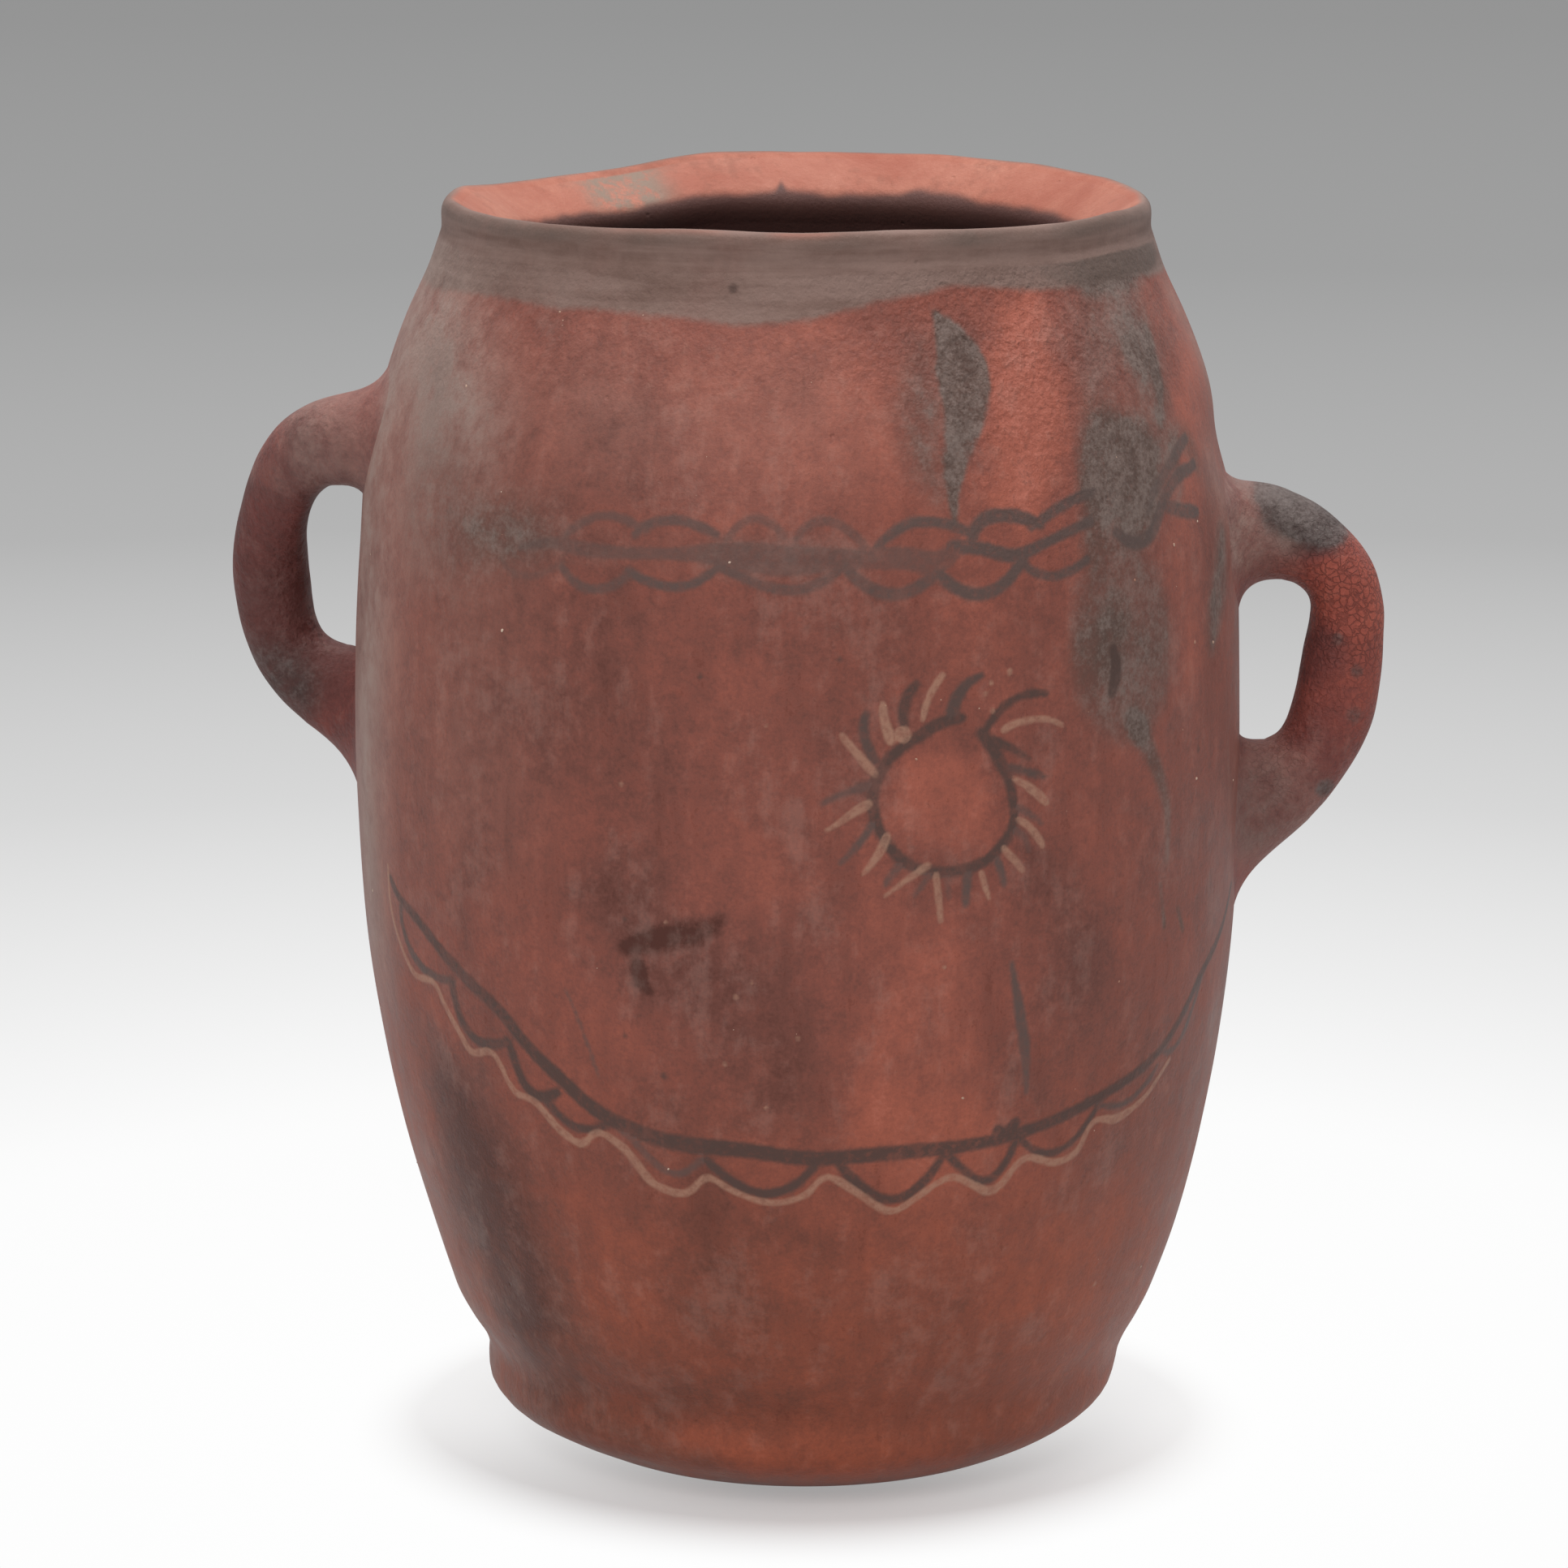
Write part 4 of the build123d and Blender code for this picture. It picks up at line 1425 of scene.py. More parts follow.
        # Painted sheen and highlights, with some grey patches of the clay, mottled and mixed towards grey.
        sheen_mottle = b.span(b.add(patch, b.times(speck, 0.8)), 0.6, 1.2, 0.2, 1.0)
        sheen_and_grey = b.math("MULTIPLY", b.field("haze"), sheen_mottle, True)
        colour = b.mix(b.times(sheen_and_grey, 0.8), colour, tinted(self.ash_and_sheen))
        ragged = b.add(1.0, b.times(b.less(b.add(patch, speck), 1.0), 1.8))
        smoke = b.span(b.times(b.field("smoke"), ragged), 0.03, 0.95)
        thin = b.span(b.add(speck, b.less(wisp, patch)), 0.25, 0.75)
        cloud = b.mix(thin, tinted(self.soot), tinted(self.soot, 44))
        colour = b.mix(b.times(smoke, 0.86), colour, cloud)
        edge = b.add(b.field("band"), b.swing(speck, 5.0))
        band = b.times(b.span(edge, -1.6, 2.0), b.span(patch, 0.2, 0.55, 0.72, 0.95))
        swept = b.span(b.noise(b.stretch(place, 12.0, 150.0), 1.0, 3.0, 0.6), 0.35, 0.65)
        slip = b.mix(swept, tinted(self.rim_slip, 9), tinted(self.rim_slip, -15))
        slip = b.mix(b.span(speck, 0.3, 0.75, 0.0, 0.35), slip, tinted(self.rim_slip, 22))
        # The painted sheen lightens the rim's band as well.
        slip = b.mix(b.times(sheen_and_grey, 0.6), slip, tinted(self.ash_and_sheen))
        slip = b.mix(b.times(smoke, 0.6), slip, tinted(self.soot))
        colour = b.mix(band, colour, slip)
        pale = b.mix(b.span(patch, 0.3, 0.7), tinted(self.salmon), tinted(self.deep_salmon))
        stained = b.span(b.add(speck, b.less(broad, 0.5)), 0.5, 0.75, 0.0, 0.6)
        pale = b.mix(stained, pale, tinted(self.dark_salmon))
        chalky = b.span(b.less(wisp, b.less(patch, 0.5)), 0.6, 0.8, 0.0, 0.2)
        pale = b.mix(chalky, pale, tinted(self.pale_salmon))
        grey = b.times(b.field("grey"), b.span(b.add(patch, speck), 0.75, 1.05))
        pale = b.mix(b.times(grey, 0.9), pale, tinted(self.grey_salmon))
        colour = b.mix(b.field("bare"), colour, pale)
        # Painted shade over the inside and the low part of the bevel.
        colour = b.mix(b.times(b.field("inside"), 0.9), colour, tinted(self.inside_shade))
        return colour, b.math("MAXIMUM", smoke, band)

    def _slip(self, b: Bench, mottle: Mottle, colour: object) -> tuple[NodeSocket, NodeSocket]:
        """Dark and cream brush work, worn thin in places.

        Args:
            b: Bench of the tree.
            mottle: Noises of the clay.
            colour: Clay colour so far.

        Returns:
            The colour and the height of the slip in millimetres.
        """
        patch, speck = mottle.patch, mottle.speck
        wisp = b.noise(mottle.place, 330.0, 4.0, 0.65)
        tone = b.field("dark_tone")
        fray = b.add(b.swing(speck, 1.8), b.swing(wisp, 1.6))
        rubbed = b.span(b.add(wisp, b.less(patch, 0.5)), 0.3, 0.6, 0.65, 1.0)
        dark = b.span(b.add(b.field("dark_slip"), fray), 1.25, -1.0)
        dark = b.times(dark, b.times(b.math("MULTIPLY", tone, 1.22, True), rubbed))
        full = b.mix(b.span(tone, 0.84, 0.98), tinted(self.thin_slip), tinted(self.dark_slip))
        colour = b.mix(b.times(dark, 0.94), colour, full)
        cream = b.span(b.add(b.field("cream_slip"), fray), 0.7, -0.7)
        kept = b.times(b.span(wisp, 0.3, 0.62, 0.45, 1.0), b.span(patch, 0.25, 0.5, 0.65, 1.0))
        cream = b.times(cream, kept)
        colour = b.mix(b.times(cream, 0.8), colour, tinted(self.cream_slip))
        return colour, b.add(b.times(cream, 0.18), b.times(dark, 0.08))

    def _pits(self, b: Bench, place: object) -> NodeSocket:
        """Small pits where grit fell out.

        Args:
            b: Bench of the tree.
            place: Place on the jar.

        Returns:
            Their height in millimetres.
        """
        cell = b.node("ShaderNodeTexVoronoi", {"Vector": place, "Scale": 95.0, "Randomness": 1.0})
        chance = b.node("ShaderNodeSeparateColor", {0: cell.outputs["Color"]}).outputs[0]
        hollow = b.span(cell.outputs["Distance"], 0.12, 0.03)
        return b.times(hollow, b.span(chance, 0.86, 0.9), -0.35)

    def _crackle(self, b: Bench, mottle: Mottle, colour: object) -> tuple[NodeSocket, NodeSocket]:
        """Crackled slip on the handles.

        Args:
            b: Bench of the tree.
            mottle: Noises of the clay.
            colour: Clay colour so far.

        Returns:
            The cracks' height in millimetres and the cracked colour.
        """
        place, patch = mottle.place, mottle.patch
        if self.crackle <= 0:
            return b.times(patch, 0.0), colour
        warp = b.node("ShaderNodeTexNoise", {"Vector": place, "Scale": 240.0, "Detail": 3.0}).outputs[1]
        moved = b.vector("ADD", place, b.vector("MULTIPLY", warp, (0.005, 0.005, 0.005)))
        cells = {"Vector": moved, "Scale": 310.0}
        net = b.node("ShaderNodeTexVoronoi", cells, feature="DISTANCE_TO_EDGE").outputs[0]
        strength = b.times(b.field("handle"), b.span(patch, 0.36, 0.56, 0.35, self.crackle))
        line = b.times(b.span(net, 0.13, 0.02), strength)
        return b.times(line, -0.35), b.mix(b.times(line, 0.42), colour, tinted(self.crack))


@dataclass(frozen=True)
class FleckFinish:
    """Pale lime grains in the clay."""

    name: str = "lime_fleck"
    colour: tuple = (214, 190, 170)
    dull: tuple = (176, 130, 108)
    rough: float = 0.8

    def build(self) -> Material:
        """Wires the finish.

        Returns:
            The material.
        """
        material = bpy.data.materials.new(self.name)
        material.use_nodes = True
        b = Bench(material.node_tree)
        shader = material.node_tree.nodes["Principled BSDF"]
        tone = b.noise(b.node("ShaderNodeTexCoord").outputs["Object"], 90.0, 2.0)
        colour = b.mix(b.span(tone, 0.35, 0.65), tinted(self.colour), tinted(self.dull))
        b.feed(shader.inputs["Base Color"], colour)
        shader.inputs["Roughness"].default_value = self.rough
        return material


@dataclass
class JarWall:
    """Clay courses of the wall, the neck collar and the lip coil."""

    jar: JarShape
    paint: PaintWork
    seat_out: float = 1.9
    seat_in: float = -2.3

    def build(self, body: Material, rim: Material) -> list[Object]:
        """Cuts the jar's grid into its courses.

        Args:
            body: Finish of the wall.
            rim: Finish of the neck and lip.

        Returns:
            The pieces, each standing for its own node.
        """
        jar = self.jar
        outer = np.where(jar.zone == Zone.OUTSIDE.value)[0]
        inner = np.where(jar.zone == Zone.INSIDE.value)[0]
        inner = inner[jar.profile[inner, 0] > 100]
        out_cut = [outer[np.argmin(np.abs(jar.profile[outer, 1] - c.joint - self.seat_out))] for c in Course]
        in_cut = [inner[np.argmin(np.abs(jar.profile[inner, 1] - c.joint - self.seat_in))] for c in Course]
        lip = np.where(jar.zone == Zone.LIP.value)[0]
        lip_from, lip_to = lip[1], lip[-1]
        last = len(jar.profile) - 1
        spans = {Course.BASE_PAN.node: [(0, out_cut[0]), (in_cut[0], last)]}
        for k, course in enumerate(list(Course)[1:], 1):
            spans[course.node] = [(out_cut[k - 1], out_cut[k]), (in_cut[k], in_cut[k - 1])]
        spans["neck_collar"] = [(out_cut[-1], lip_from), (lip_to, in_cut[-1])]
        spans["rim_coil"] = [(lip_from, lip_to)]
        pieces = []
        for node, ranges in spans.items():
            finish, slot = (rim, "rim_slip") if node in ("neck_collar", "rim_coil") else (body, "clay_body")
            piece = self._course(node + "_clay", ranges, finish)
            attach(piece, "root")
            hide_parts(node)
            pieces.append(piece)
        return pieces

    def _ring(self, maker: MeshMaker, row: int, normals: np.ndarray | None = None) -> tuple[int, int]:
        """Adds one grid row to a piece.

        Args:
            maker: Maker of the piece's mesh.
            row: The grid row.
            normals: Normals to use in place of the grid's own.

        Returns:
            The first index and the number of points.
        """
        jar = self.jar
        pick = slice(0, 1) if self._on_axis(row) else slice(None)
        facing = jar.normals[row] if normals is None else normals
        fields = {name: values[row, pick] for name, values in self.paint.fields.items()}
        return maker.row(jar.grid[row, pick], facing[pick], fields)

    def _on_axis(self, row: int) -> bool:
        """Whether a grid row is one point on the jar's axis."""
        return self.jar.profile[row, 0] < 0.01

    def _course(
        self, name: str, ranges: list[tuple[int, int]], finish: Material,
    ) -> Object:
        """Makes one closed course from ranges of grid rows.

        Args:
            name: Name of the piece.
            ranges: First and last rows, in the profile's order.
            finish: Material.

        Returns:
            The piece.
        """
        maker = MeshMaker()
        for start, end in ranges:
            maker.strips([self._ring(maker, row) for row in range(start, end + 1)])
        for (_, end), (start, _) in zip(ranges, ranges[1:] + ranges[:1]):
            if self._on_axis(end):
                continue
            facing = grid_normals(np.stack([self.jar.grid[end], self.jar.grid[start]]))[0]
            maker.strip(self._ring(maker, end, facing), self._ring(maker, start, facing))
        return maker.object(name, finish)


class Side(Enum):
    """Side of the jar that a handle is on, with its turn from the front in degrees."""

    RIGHT = ("right", 90.0)
    LEFT = ("left", -103.0)

    @property
    def label(self) -> str:
        """Word that starts the node names."""
        return self.value[0]

    @property
    def turn(self) -> float:
        """Degrees from the front."""
        return self.value[1]


@dataclass
class LoopHandle:
    """A thick rolled loop of clay with its roots smeared onto the wall.

    The outer and inner outlines are (reach from the axis, height) in millimetres. Marks and crackled patches
    are placed by reach, height and size, with their strength.
    """

    side: Side
    jar: JarShape
    paint: PaintWork
    outer: tuple
    inner: tuple
    upper_foot: tuple
    lower_foot: tuple
    drift: float = 0.0
    twist: float = 0.0
    crackled: tuple = ()
    half_width: tuple = (18.5, 17.0, 16.0, 16.5, 18.0)
    roundness: float = 0.94
    sunk: float = 0.8
    columns: int = 80
    step: float = 1.6
    fillet_rows: int = 18
    marks: tuple = ()
    lump: float = 0.5
    lump_seeds: tuple = (31, 37)
    lump_sizes: tuple = (26, 11)

    def _outwards(self) -> np.ndarray:
        """Direction from the axis to the handle."""
        angle = math.radians(self.side.turn)
        return np.array([math.sin(angle), -math.cos(angle), 0.0])

    def _placed(self, edge: np.ndarray, seen: np.ndarray, outwards: np.ndarray) -> np.ndarray:
        """Stands an edge of the outline in space.

        Args:
            edge: Rows of reach from the axis and height.
            seen: Stretch of the reach that keeps the twisted handle's outline.
            outwards: Direction from the axis, for each row.

        Returns:
            The edge's points.
        """
        up = np.array([0, 0, 1.0])
        return edge[:, 0:1] * seen * outwards + edge[:, 1:2] * up + np.array([self.drift, 0, 0])

    def _coil(self) -> tuple[np.ndarray, np.ndarray]:
        """Rings of the coil between its roots.

        Returns:
            The rings' points and the coil's centre line.
        """
        middle = (np.array(self.outer) + self.inner) / 2
        pairs = flow(np.concatenate([middle, self.outer, self.inner], 1), self.step)
        phi = np.linspace(0, 2 * np.pi, self.columns, endpoint=False)[None, :, None]
        angle = np.radians(self.side.turn + self.twist * np.linspace(1, 0, len(pairs))[:, None] ** 2)
        outwards = np.concatenate([np.sin(angle), -np.cos(angle), 0 * angle], 1)
        sideways = np.concatenate([np.cos(angle), np.sin(angle), 0 * angle], 1)
        seen = math.sin(math.radians(self.side.turn)) / np.sin(angle)
        far = self._placed(pairs[:, 2:4], seen, outwards)
        near = self._placed(pairs[:, 4:6], seen, outwards)
        centre, reach = (far + near) / 2, (far - near) / 2
        stations = np.linspace(0, 1, len(self.half_width))
        wide = smooth_through(np.linspace(0, 1, len(pairs)), stations, np.array(self.half_width))
        aside = wide[:, None] * sideways
        round_x = np.sign(np.cos(phi)) * np.abs(np.cos(phi)) ** self.roundness
        round_y = np.sign(np.sin(phi)) * np.abs(np.sin(phi)) ** self.roundness
        return centre[:, None] + reach[:, None] * round_x + aside[:, None] * round_y, centre

    def _root(self, ring: np.ndarray, towards: np.ndarray, foot: tuple, up: float) -> np.ndarray:
        """Smears a coil's end onto the wall.

        Args:
            ring: Last ring of the coil.
            towards: Direction of the coil into the wall.
            foot: Height of the root's middle, its half heights on the outer and hole sides, its half widths
                onwards and back round the wall, and its turn from the handle's middle in degrees.
            up: One where the outer side is upwards, minus one where it is downwards.

        Returns:
            Rings from the coil's end to the wall.
        """
        middle, outer_half, hole_half, onward, back, turned = foot
        phi = np.linspace(0, 2 * np.pi, self.columns, endpoint=False)
        rise = np.where(np.cos(phi) > 0, outer_half, hole_half) * np.cos(phi) * up
        height = middle + rise
        wide = np.where(np.sin(phi) > 0, onward, back) * np.sin(phi)
        turn = self.side.turn + turned + np.degrees(wide / self.jar.radius(height))
        foot_points, facing = self.jar.wall_point(turn, height)
        heart, _ = self.jar.wall_point(np.full(1, self.side.turn + turned), np.full(1, middle))
        spread = foot_points - heart
        spread -= facing * np.sum(spread * facing, 1, keepdims=True)
        spread /= np.linalg.norm(spread, axis=1, keepdims=True)
        foot_points = foot_points - facing * self.sunk
        gap = np.linalg.norm(foot_points - ring, axis=1, keepdims=True)
        level = (1 + np.cos(phi)[:, None]) / 2
        aim = towards * level - self._outwards() * (1 - level)
        first = ring + aim / np.linalg.norm(aim, axis=1, keepdims=True) * gap * 0.45
        second = foot_points - spread * gap * 0.42 + facing * 0.6
        t = np.linspace(0, 1, self.fillet_rows + 1)[1:, None, None]
        leaving = (1 - t) ** 3 * ring + 3 * t * (1 - t) ** 2 * first
        return leaving + 3 * t * t * (1 - t) * second + t**3 * foot_points

    def build(self, finish: Material) -> list[Object]:
        """Builds the coil and its two smeared roots.

        Args:
            finish: Material of the handle.

        Returns:
            The three pieces, each standing for its own node.
        """
        coil, centre = self._coil()
        top = centre[0] - centre[1]
        low = centre[-1] - centre[-2]
        upper = self._root(coil[0], top / np.linalg.norm(top), self.upper_foot, 1.0)[::-1]
        lower = self._root(coil[-1], low / np.linalg.norm(low), self.lower_foot, -1.0)
        grid = np.concatenate([upper, coil, lower])
        rising, falling = np.linspace(0, 1, len(upper)), np.linspace(1, 0, len(lower))
        share = np.concatenate([rising, np.ones(len(coil)), falling])
        normals = grid_normals(grid)
        broad, fine = (ClayNoise(s).at(grid, size) for s, size in zip(self.lump_seeds, self.lump_sizes))
        lumps = broad * self.lump + fine * self.lump * 0.4
        grid = grid + normals * (lumps * ease(0, 0.5, share)[:, None])[..., None]
        normals = grid_normals(grid)
        fields = self._fields(grid, share)
        a, b = len(upper), len(upper) + len(coil) - 1
        ranges = {"upper_root_collar": (0, a), "handle": (a, b), "lower_root_collar": (b, len(grid) - 1)}
        pieces = []
        for ending, (start, end) in ranges.items():
            node = f"{self.side.label}_{ending}"
            rows = slice(start, end + 1)
            own_fields = {name: values[rows] for name, values in fields.items()}
            piece = self._closed(node + "_clay", grid[rows], normals[rows], own_fields, finish)
            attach(piece, "root")
            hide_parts(node)
            pieces.append(piece)
        return pieces

    def _fields(self, grid: np.ndarray, share: np.ndarray) -> dict:
        """Carries the wall's fields onto the roots and adds the handle's own marks.

        Args:
            grid: Points of the handle.
            share: How far each ring is from the wall, 0 to 1.

        Returns:
            Fields on the grid.
        """
        rows = self.paint.outer
        turn = np.degrees(np.arctan2(grid[..., 0] - self.jar.lean(grid[..., 2]), -grid[..., 1]))
        level = np.interp(grid[..., 2], self.paint.height, np.arange(len(rows)))
        column = ((turn + 180) % 360) / 360 * self.jar.columns
        fade = 1 - ease(0.0, 0.75, share)[:, None]
        fields = {}
        for name in FIELDS:
            empty = EMPTY.get(name, 0.0)
            wall = self.jar.read(self.paint.fields[name][rows], level, column)
            fields[name] = empty + (wall - empty) * fade
        out = grid @ self._outwards()
        off_wall = ease(0.1, 0.9, share)[:, None]
        for reach, height, size, strength in self.crackled:
            away = np.hypot(out - reach, grid[..., 2] - height)
            cracks = strength * (1 - ease(size * 0.4, size, away)) * off_wall
            fields["handle"] = np.maximum(fields["handle"], cracks)
        off_wall = ease(-0.1, 0.5, share)[:, None]
        for tint, reach, height, size, strength in self.marks:
            away = np.hypot(out - reach, grid[..., 2] - height)
            mark = strength * (1 - ease(size * 0.45, size, away)) * off_wall
            fields[tint.value] = fields[tint.value] + mark
        return fields

    def _closed(
        self, name: str, grid: np.ndarray, normals: np.ndarray, fields: dict, finish: Material,
    ) -> Object:
        """Closes a run of rings with a cap at each end.

        Args:
            name: Name of the piece.
            grid: Rings of points.
            normals: Their normals.
            fields: Their fields.
            finish: Material.

        Returns:
            The piece.
        """
        maker = MeshMaker()
        rows = [{key: values[k] for key, values in fields.items()} for k in range(len(grid))]
        maker.strips([maker.row(*row) for row in zip(grid, normals, rows)])
        for k, first in ((0, True), (len(grid) - 1, False)):
            heart = grid[k].mean(0, keepdims=True)
            step = grid[k].mean(0) - grid[1 if first else -2].mean(0)
            facing = np.repeat(step[None] / np.linalg.norm(step), self.columns, 0)
            cap = maker.row(grid[k], facing, rows[k])
            pole = maker.row(heart, facing[:1], {})
            maker.strip(*((pole, cap) if first else (cap, pole)))
        return maker.object(name, finish)


@dataclass
class LimeFlecks:
    """Grains of lime and grit that show on the outer skin."""

    jar: JarShape
    density: float = 300.0
    seed: int = 8
    thinning: int = 6

    def build(self, finish: Material) -> Object:
        """Scatters the grains with a node tree.

        Args:
            finish: Material of the grains.

        Returns:
            The piece.
        """
        every = self.thinning
        rows = np.where(self.jar.zone == Zone.OUTSIDE.value)[0][2 * every::every]
        maker = MeshMaker()
        maker.strips([maker.row(self.jar.grid[r, ::every], self.jar.normals[r, ::every], {}) for r in rows])
        skin = maker.object("fleck_skin", finish)
        mesh = grow(skin, Bench().fleck_tree(finish), {"Density": self.density, "Seed": self.seed})
        mesh.name = "lime_flecks"
        mesh.shade_smooth()
        piece = bpy.data.objects.new("lime_flecks", mesh)
        bpy.context.scene.collection.objects.link(piece)
        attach(piece, "root")
        return piece


@dataclass
class Studio:
    """Pale floor, soft light and the camera."""

    camera_place: tuple = (-0.0081, -2.300, 0.7354)
    camera_tilt: float = 11.47
    lens: float = 132.8
    sensor: float = 36.0
    clip_end: float = 200.0
    world_light: float = 0.52
    floor_size: float = 60.0
    floor_fade: float = 12.0
    floor_white: tuple = (0.95, 0.95, 0.95, 1)
    floor_bounce: tuple = (0.55, 0.55, 0.55, 1)
    floor_greys: tuple = (
        (0.0, 255), (0.045, 252), (0.07, 238), (0.11, 215), (0.2, 180), (0.36, 160), (0.7, 149), (1.0, 146),
    )
    lamps: tuple = (
        ("overhead_softbox", (0.15, 0.25, 2.4), (0.0, 0.0, 0.25), 1.6, 38.0),
        ("front_softbox", (-0.7, -2.3, 2.0), (0.0, 0.0, 0.3), 1.4, 22.0),
    )

    def build(self) -> None:
        """Sets the stage."""
        scene = bpy.context.scene
        scene.view_settings.view_transform = "Standard"
        self._camera(scene)
        self._world(scene)
        self._floor(scene)
        for name, place, target, size, power in self.lamps:
            self._lamp(scene, name, place, target, size, power)

    def _camera(self, scene: Scene) -> None:
        """Stands the camera at the photograph's place.

        Args:
            scene: The scene.
        """
        data = bpy.data.cameras.new("camera")
        data.lens = self.lens
        data.sensor_width = self.sensor
        data.clip_end = self.clip_end
        camera = bpy.data.objects.new("camera", data)
        camera.location = self.camera_place
        camera.rotation_euler = (math.radians(90 - self.camera_tilt), 0, 0)
        scene.collection.objects.link(camera)
        scene.camera = camera

    def _world(self, scene: Scene) -> None:
        """Lights the scene evenly from all round.

        Args:
            scene: The scene.
        """
        world = bpy.data.worlds.new("studio")
        world.use_nodes = True
        ground = world.node_tree.nodes["Background"]
        ground.inputs[0].default_value = (1, 1, 1, 1)
        ground.inputs[1].default_value = self.world_light
        scene.world = world

    def _lamp(
        self, scene: Scene, name: str, place: tuple, target: tuple, size: float, power: float,
    ) -> None:
        """Hangs one soft lamp.

        Args:
            scene: The scene.
            name: Name of the lamp.
            place: Where it hangs.
            target: Where it looks.
            size: Side of its square.
            power: Watts.
        """
        data = bpy.data.lights.new(name, "AREA")
        data.shape = "SQUARE"
        data.size = size
        data.energy = power
        lamp = bpy.data.objects.new(name, data)
        lamp.location = place
        way = np.array(target) - place
        tilt = math.acos(-way[2] / np.linalg.norm(way))
        lamp.rotation_euler = (tilt, 0, math.atan2(way[1], way[0]) - math.pi / 2)
        scene.collection.objects.link(lamp)

    def _floor(self, scene: Scene) -> None:
        """Lays a floor that is white near the jar and greyer with distance.

        Args:
            scene: The scene.
        """
        material = bpy.data.materials.new("studio_floor")
        material.use_nodes = True
        tree = material.node_tree
        tree.nodes.clear()
        b = Bench(tree)
        place = b.node("ShaderNodeTexCoord").outputs["Object"]
        flat = b.vector("MULTIPLY", place, (1, 1, 0))
        away = b.node("ShaderNodeVectorMath", {0: flat}, operation="LENGTH").outputs["Value"]
        greys = tuple((at, (grey, grey, grey)) for at, grey in self.floor_greys)
        far = b.ramp(b.math("DIVIDE", away, self.floor_fade), greys)
        ray = b.node("ShaderNodeLightPath").outputs
        mirrored = b.math("MAXIMUM", ray["Is Glossy Ray"], ray["Is Transmission Ray"])
        seen = b.math("MAXIMUM", ray["Is Camera Ray"], mirrored)
        near = b.node("ShaderNodeBsdfDiffuse", {0: b.mix(seen, self.floor_bounce, self.floor_white)})
        glow = b.node("ShaderNodeEmission", {0: far, 1: 1.0})
        # Away from the foot, and more behind the jar, the floor glows with its greys in place of its own
        # light and shadow, so its shadow shows mostly close to the foot in front.
        behind = b.span(b.part(place, 1), -0.14, 0.02, 0.22, 0.72)
        share = b.times(seen, b.math("MAXIMUM", b.span(away, 0.105, 0.19), behind))
        mixed = b.node("ShaderNodeMixShader", {0: share, 1: near.outputs[0], 2: glow.outputs[0]})
        b.node("ShaderNodeOutputMaterial", {0: mixed.outputs[0]})
        half = self.floor_size / 2
        mesh = bpy.data.meshes.new("studio_floor")
        corners = [(-half, -half, 0), (half, -half, 0), (half, half, 0), (-half, half, 0)]
        mesh.from_pydata(corners, [], [(0, 1, 2, 3)])
        mesh.materials.append(material)
        floor = bpy.data.objects.new("studio_floor", mesh)
        scene.collection.objects.link(floor)


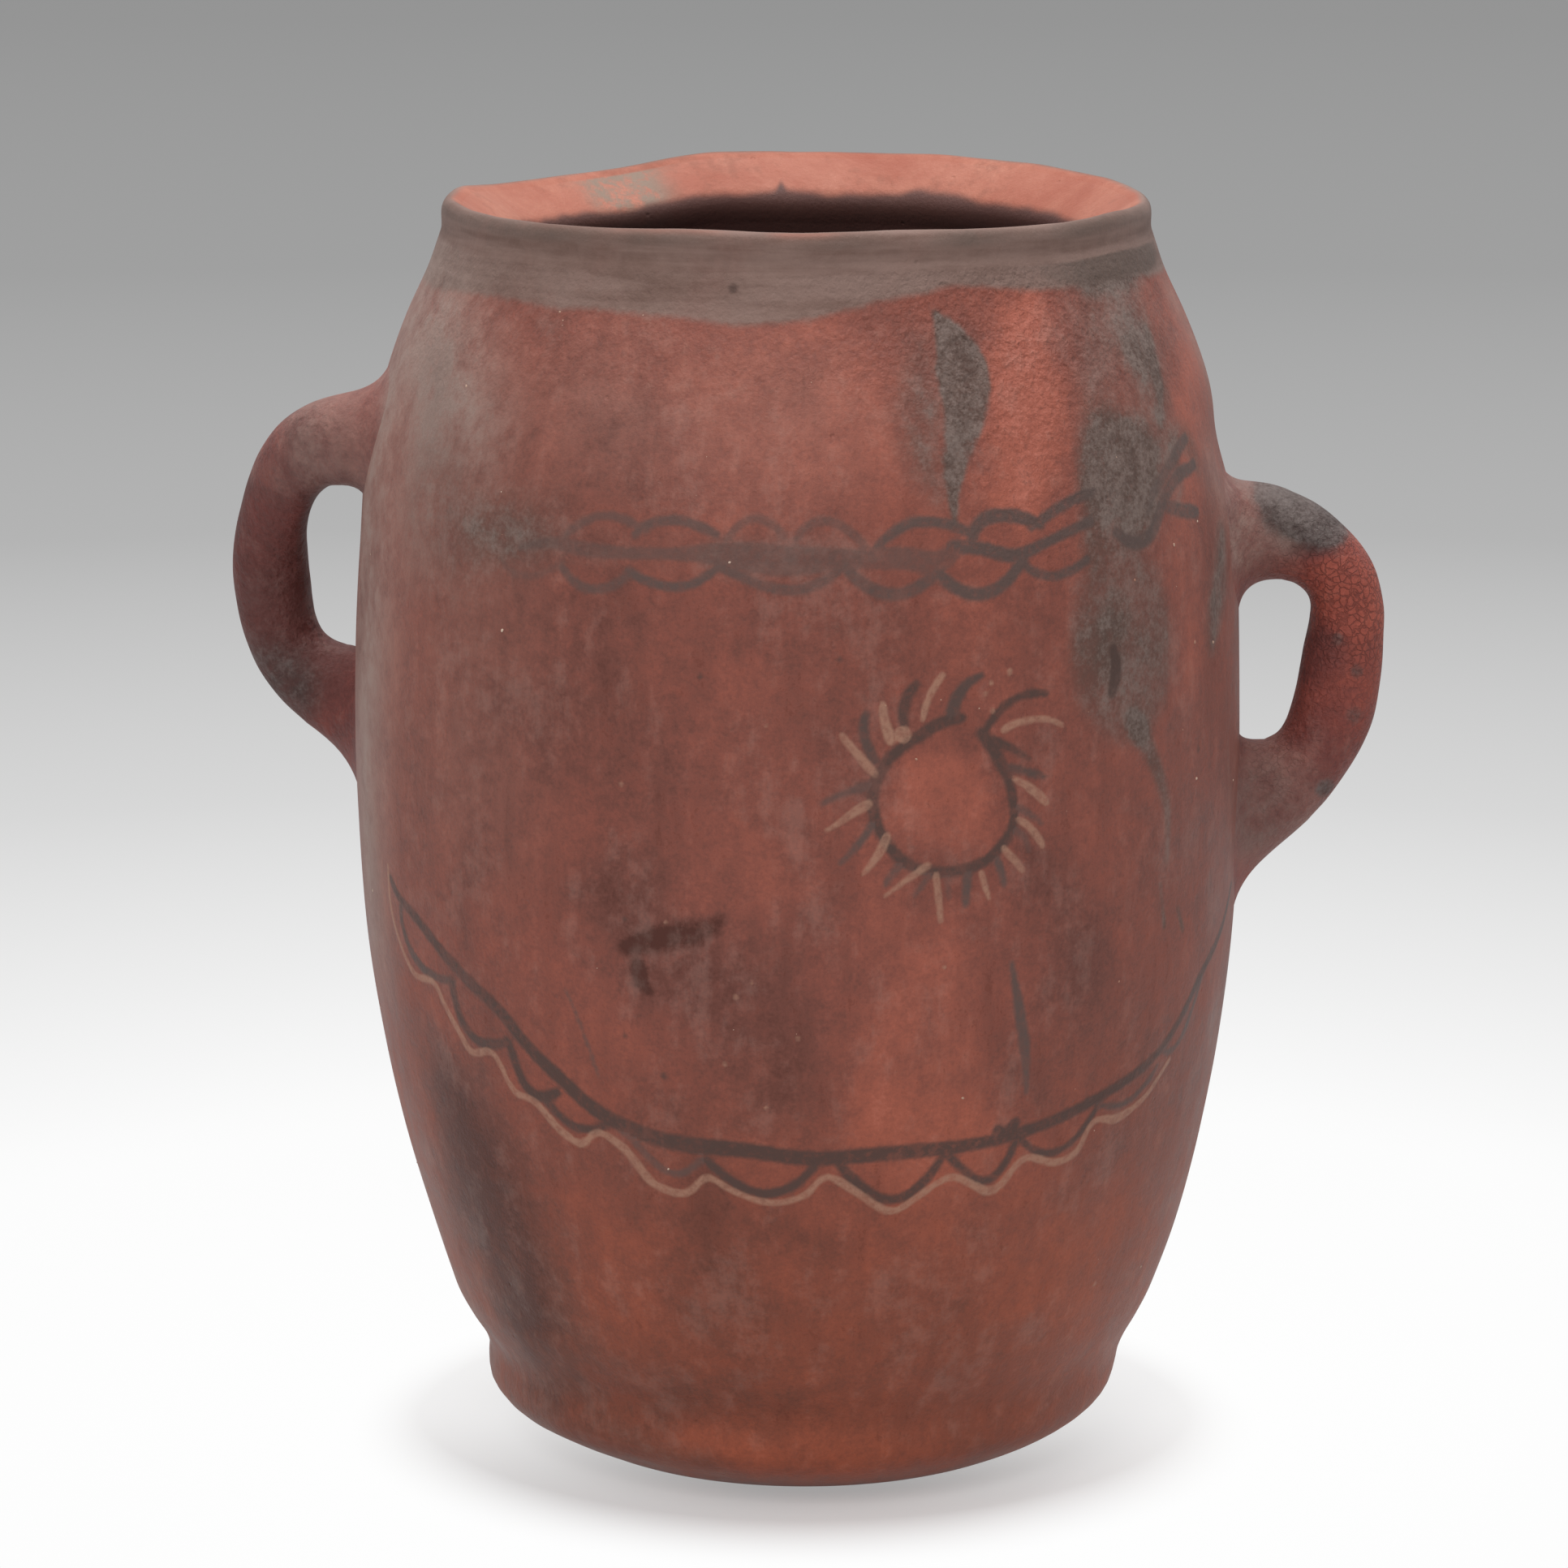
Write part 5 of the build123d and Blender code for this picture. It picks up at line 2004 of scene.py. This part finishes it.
def handles(jar: JarShape, paint: PaintWork) -> list[LoopHandle]:
    """Lists the two loop handles with their own outlines.

    Args:
        jar: Form of the jar.
        paint: Paint on the wall.

    Returns:
        The handles.
    """
    right = LoopHandle(
        Side.RIGHT, jar, paint,
        outer=(
            (195, 389.5), (207, 384.0), (217, 376.0), (226, 366.5), (232, 356.0), (234.8, 343.0),
            (235.2, 330.0), (235.0, 317.0), (233.2, 303.5), (229.5, 290.5), (223.2, 277.3), (214.5, 264.0),
            (206.0, 254.0),
        ),
        inner=(
            (193.5, 353.0), (199.0, 351.5), (203.5, 347.5), (205.3, 342.5), (205.0, 337.0), (204.2, 331.5),
            (203.0, 325.0), (202.0, 318.0), (200.8, 310.0), (198.8, 302.0), (196.2, 294.5), (192.8, 289.5),
            (188.0, 286.8),
        ),
        upper_foot=(374.0, 32.0, 37.0, 30.0, 48.0, -5.0),
        lower_foot=(251.0, 38.0, 43.0, 28.0, 40.0, -2.0),
        drift=-1.4,
        crackled=((228.0, 352.0, 52.0, 1.0), (214.0, 310.0, 110.0, 0.45)),
        # Two of these marks paint light on the upper and lower roots.
        marks=(
            (Tint.SMOKE, 193.0, 387.0, 18.0, 1.0), (Tint.SMOKE, 207.0, 381.0, 18.0, 1.3),
            (Tint.WARMTH, 203.0, 383.0, 24.0, -1.7), (Tint.SMOKE, 178.0, 402.0, 18.0, 0.4),
            (Tint.HAZE, 178.0, 382.0, 32.0, 0.95), (Tint.SMOKE, 182.0, 262.0, 26.0, 0.35),
            (Tint.SMOKE, 210.0, 270.0, 6.0, 0.8), (Tint.HAZE, 186.0, 264.0, 34.0, 0.7),
            (Tint.SMOKE, 221.0, 300.0, 5.0, 0.5), (Tint.SMOKE, 214.0, 331.0, 4.0, 0.5),
            (Tint.SMOKE, 222.0, 318.0, 4.0, 0.5), (Tint.WARMTH, 224.0, 356.0, 34.0, 0.8),
            (Tint.WARMTH, 230.0, 318.0, 30.0, 0.3), (Tint.WARMTH, 204.0, 325.0, 18.0, -0.6),
            (Tint.GRIT, 215.0, 320.0, 120.0, 0.8),
        ),
    )
    left = LoopHandle(
        Side.LEFT, jar, paint,
        outer=(
            (186, 429.6), (204, 423.8), (216, 415.4), (224.2, 405.0), (230.7, 391.6), (235.4, 376.4),
            (238.6, 362.0), (239.6, 348.0), (238.2, 334.5), (235.2, 321.0), (229.5, 307.5), (219.5, 294.5),
            (209.0, 285.5),
        ),
        inner=(
            (190.0, 392.6), (196.5, 390.6), (202.0, 385.0), (205.4, 377.6), (207.6, 368.6), (208.0, 359.5),
            (207.9, 352.5), (207.5, 345.0), (207.3, 337.5), (206.6, 330.5), (204.0, 324.0), (199.5, 320.3),
            (194.0, 318.5),
        ),
        upper_foot=(406.0, 42.0, 52.0, 52.0, 30.0, 19.0),
        lower_foot=(283.0, 62.0, 40.0, 38.0, 27.0, 6.0),
        twist=15.0,
        # Two of these marks paint light on the top of the coil and on its upper root.
        marks=(
            (Tint.SMOKE, 214.0, 322.0, 46.0, 0.3), (Tint.SMOKE, 222.0, 300.0, 30.0, 0.3),
            (Tint.HAZE, 206.0, 412.0, 34.0, 0.2), (Tint.HAZE, 172.0, 412.0, 40.0, 0.5),
            (Tint.WARMTH, 212.0, 350.0, 110.0, -0.7), (Tint.WARMTH, 214.0, 404.0, 20.0, 0.5),
            (Tint.GRIT, 215.0, 350.0, 120.0, 0.8),
        ),
    )
    return [right, left]


def main() -> None:
    """Builds the stage, the wall, the handles and the flecks, and dresses them."""
    logging.basicConfig(level=logging.INFO, format="%(name)s: %(message)s")
    Studio().build()
    body = ClayFinish("burnished_body_clay").build()
    rim = ClayFinish("slipped_rim_clay", rough=0.6).build()
    coil = ClayFinish(
        "crackled_handle_clay", crackle=1.0, rough=0.58, soot=(68, 59, 56), plum=(82, 42, 37),
        brown=(115, 62, 57), brick=(140, 73, 64), orange=(169, 86, 71), peach=(190, 103, 86),
    ).build()
    grains = FleckFinish().build()
    jar = JarShape()
    paint = PaintWork(jar)
    paint.paint(body)
    pieces = JarWall(jar, paint).build(body, rim)
    for handle in handles(jar, paint):
        pieces += handle.build(coil)
    pieces.append(LimeFlecks(jar).build(grains))
    for piece in pieces:
        log.info("%s: %d faces", piece.name, len(piece.data.polygons))


if __name__ == "__main__":
    main()
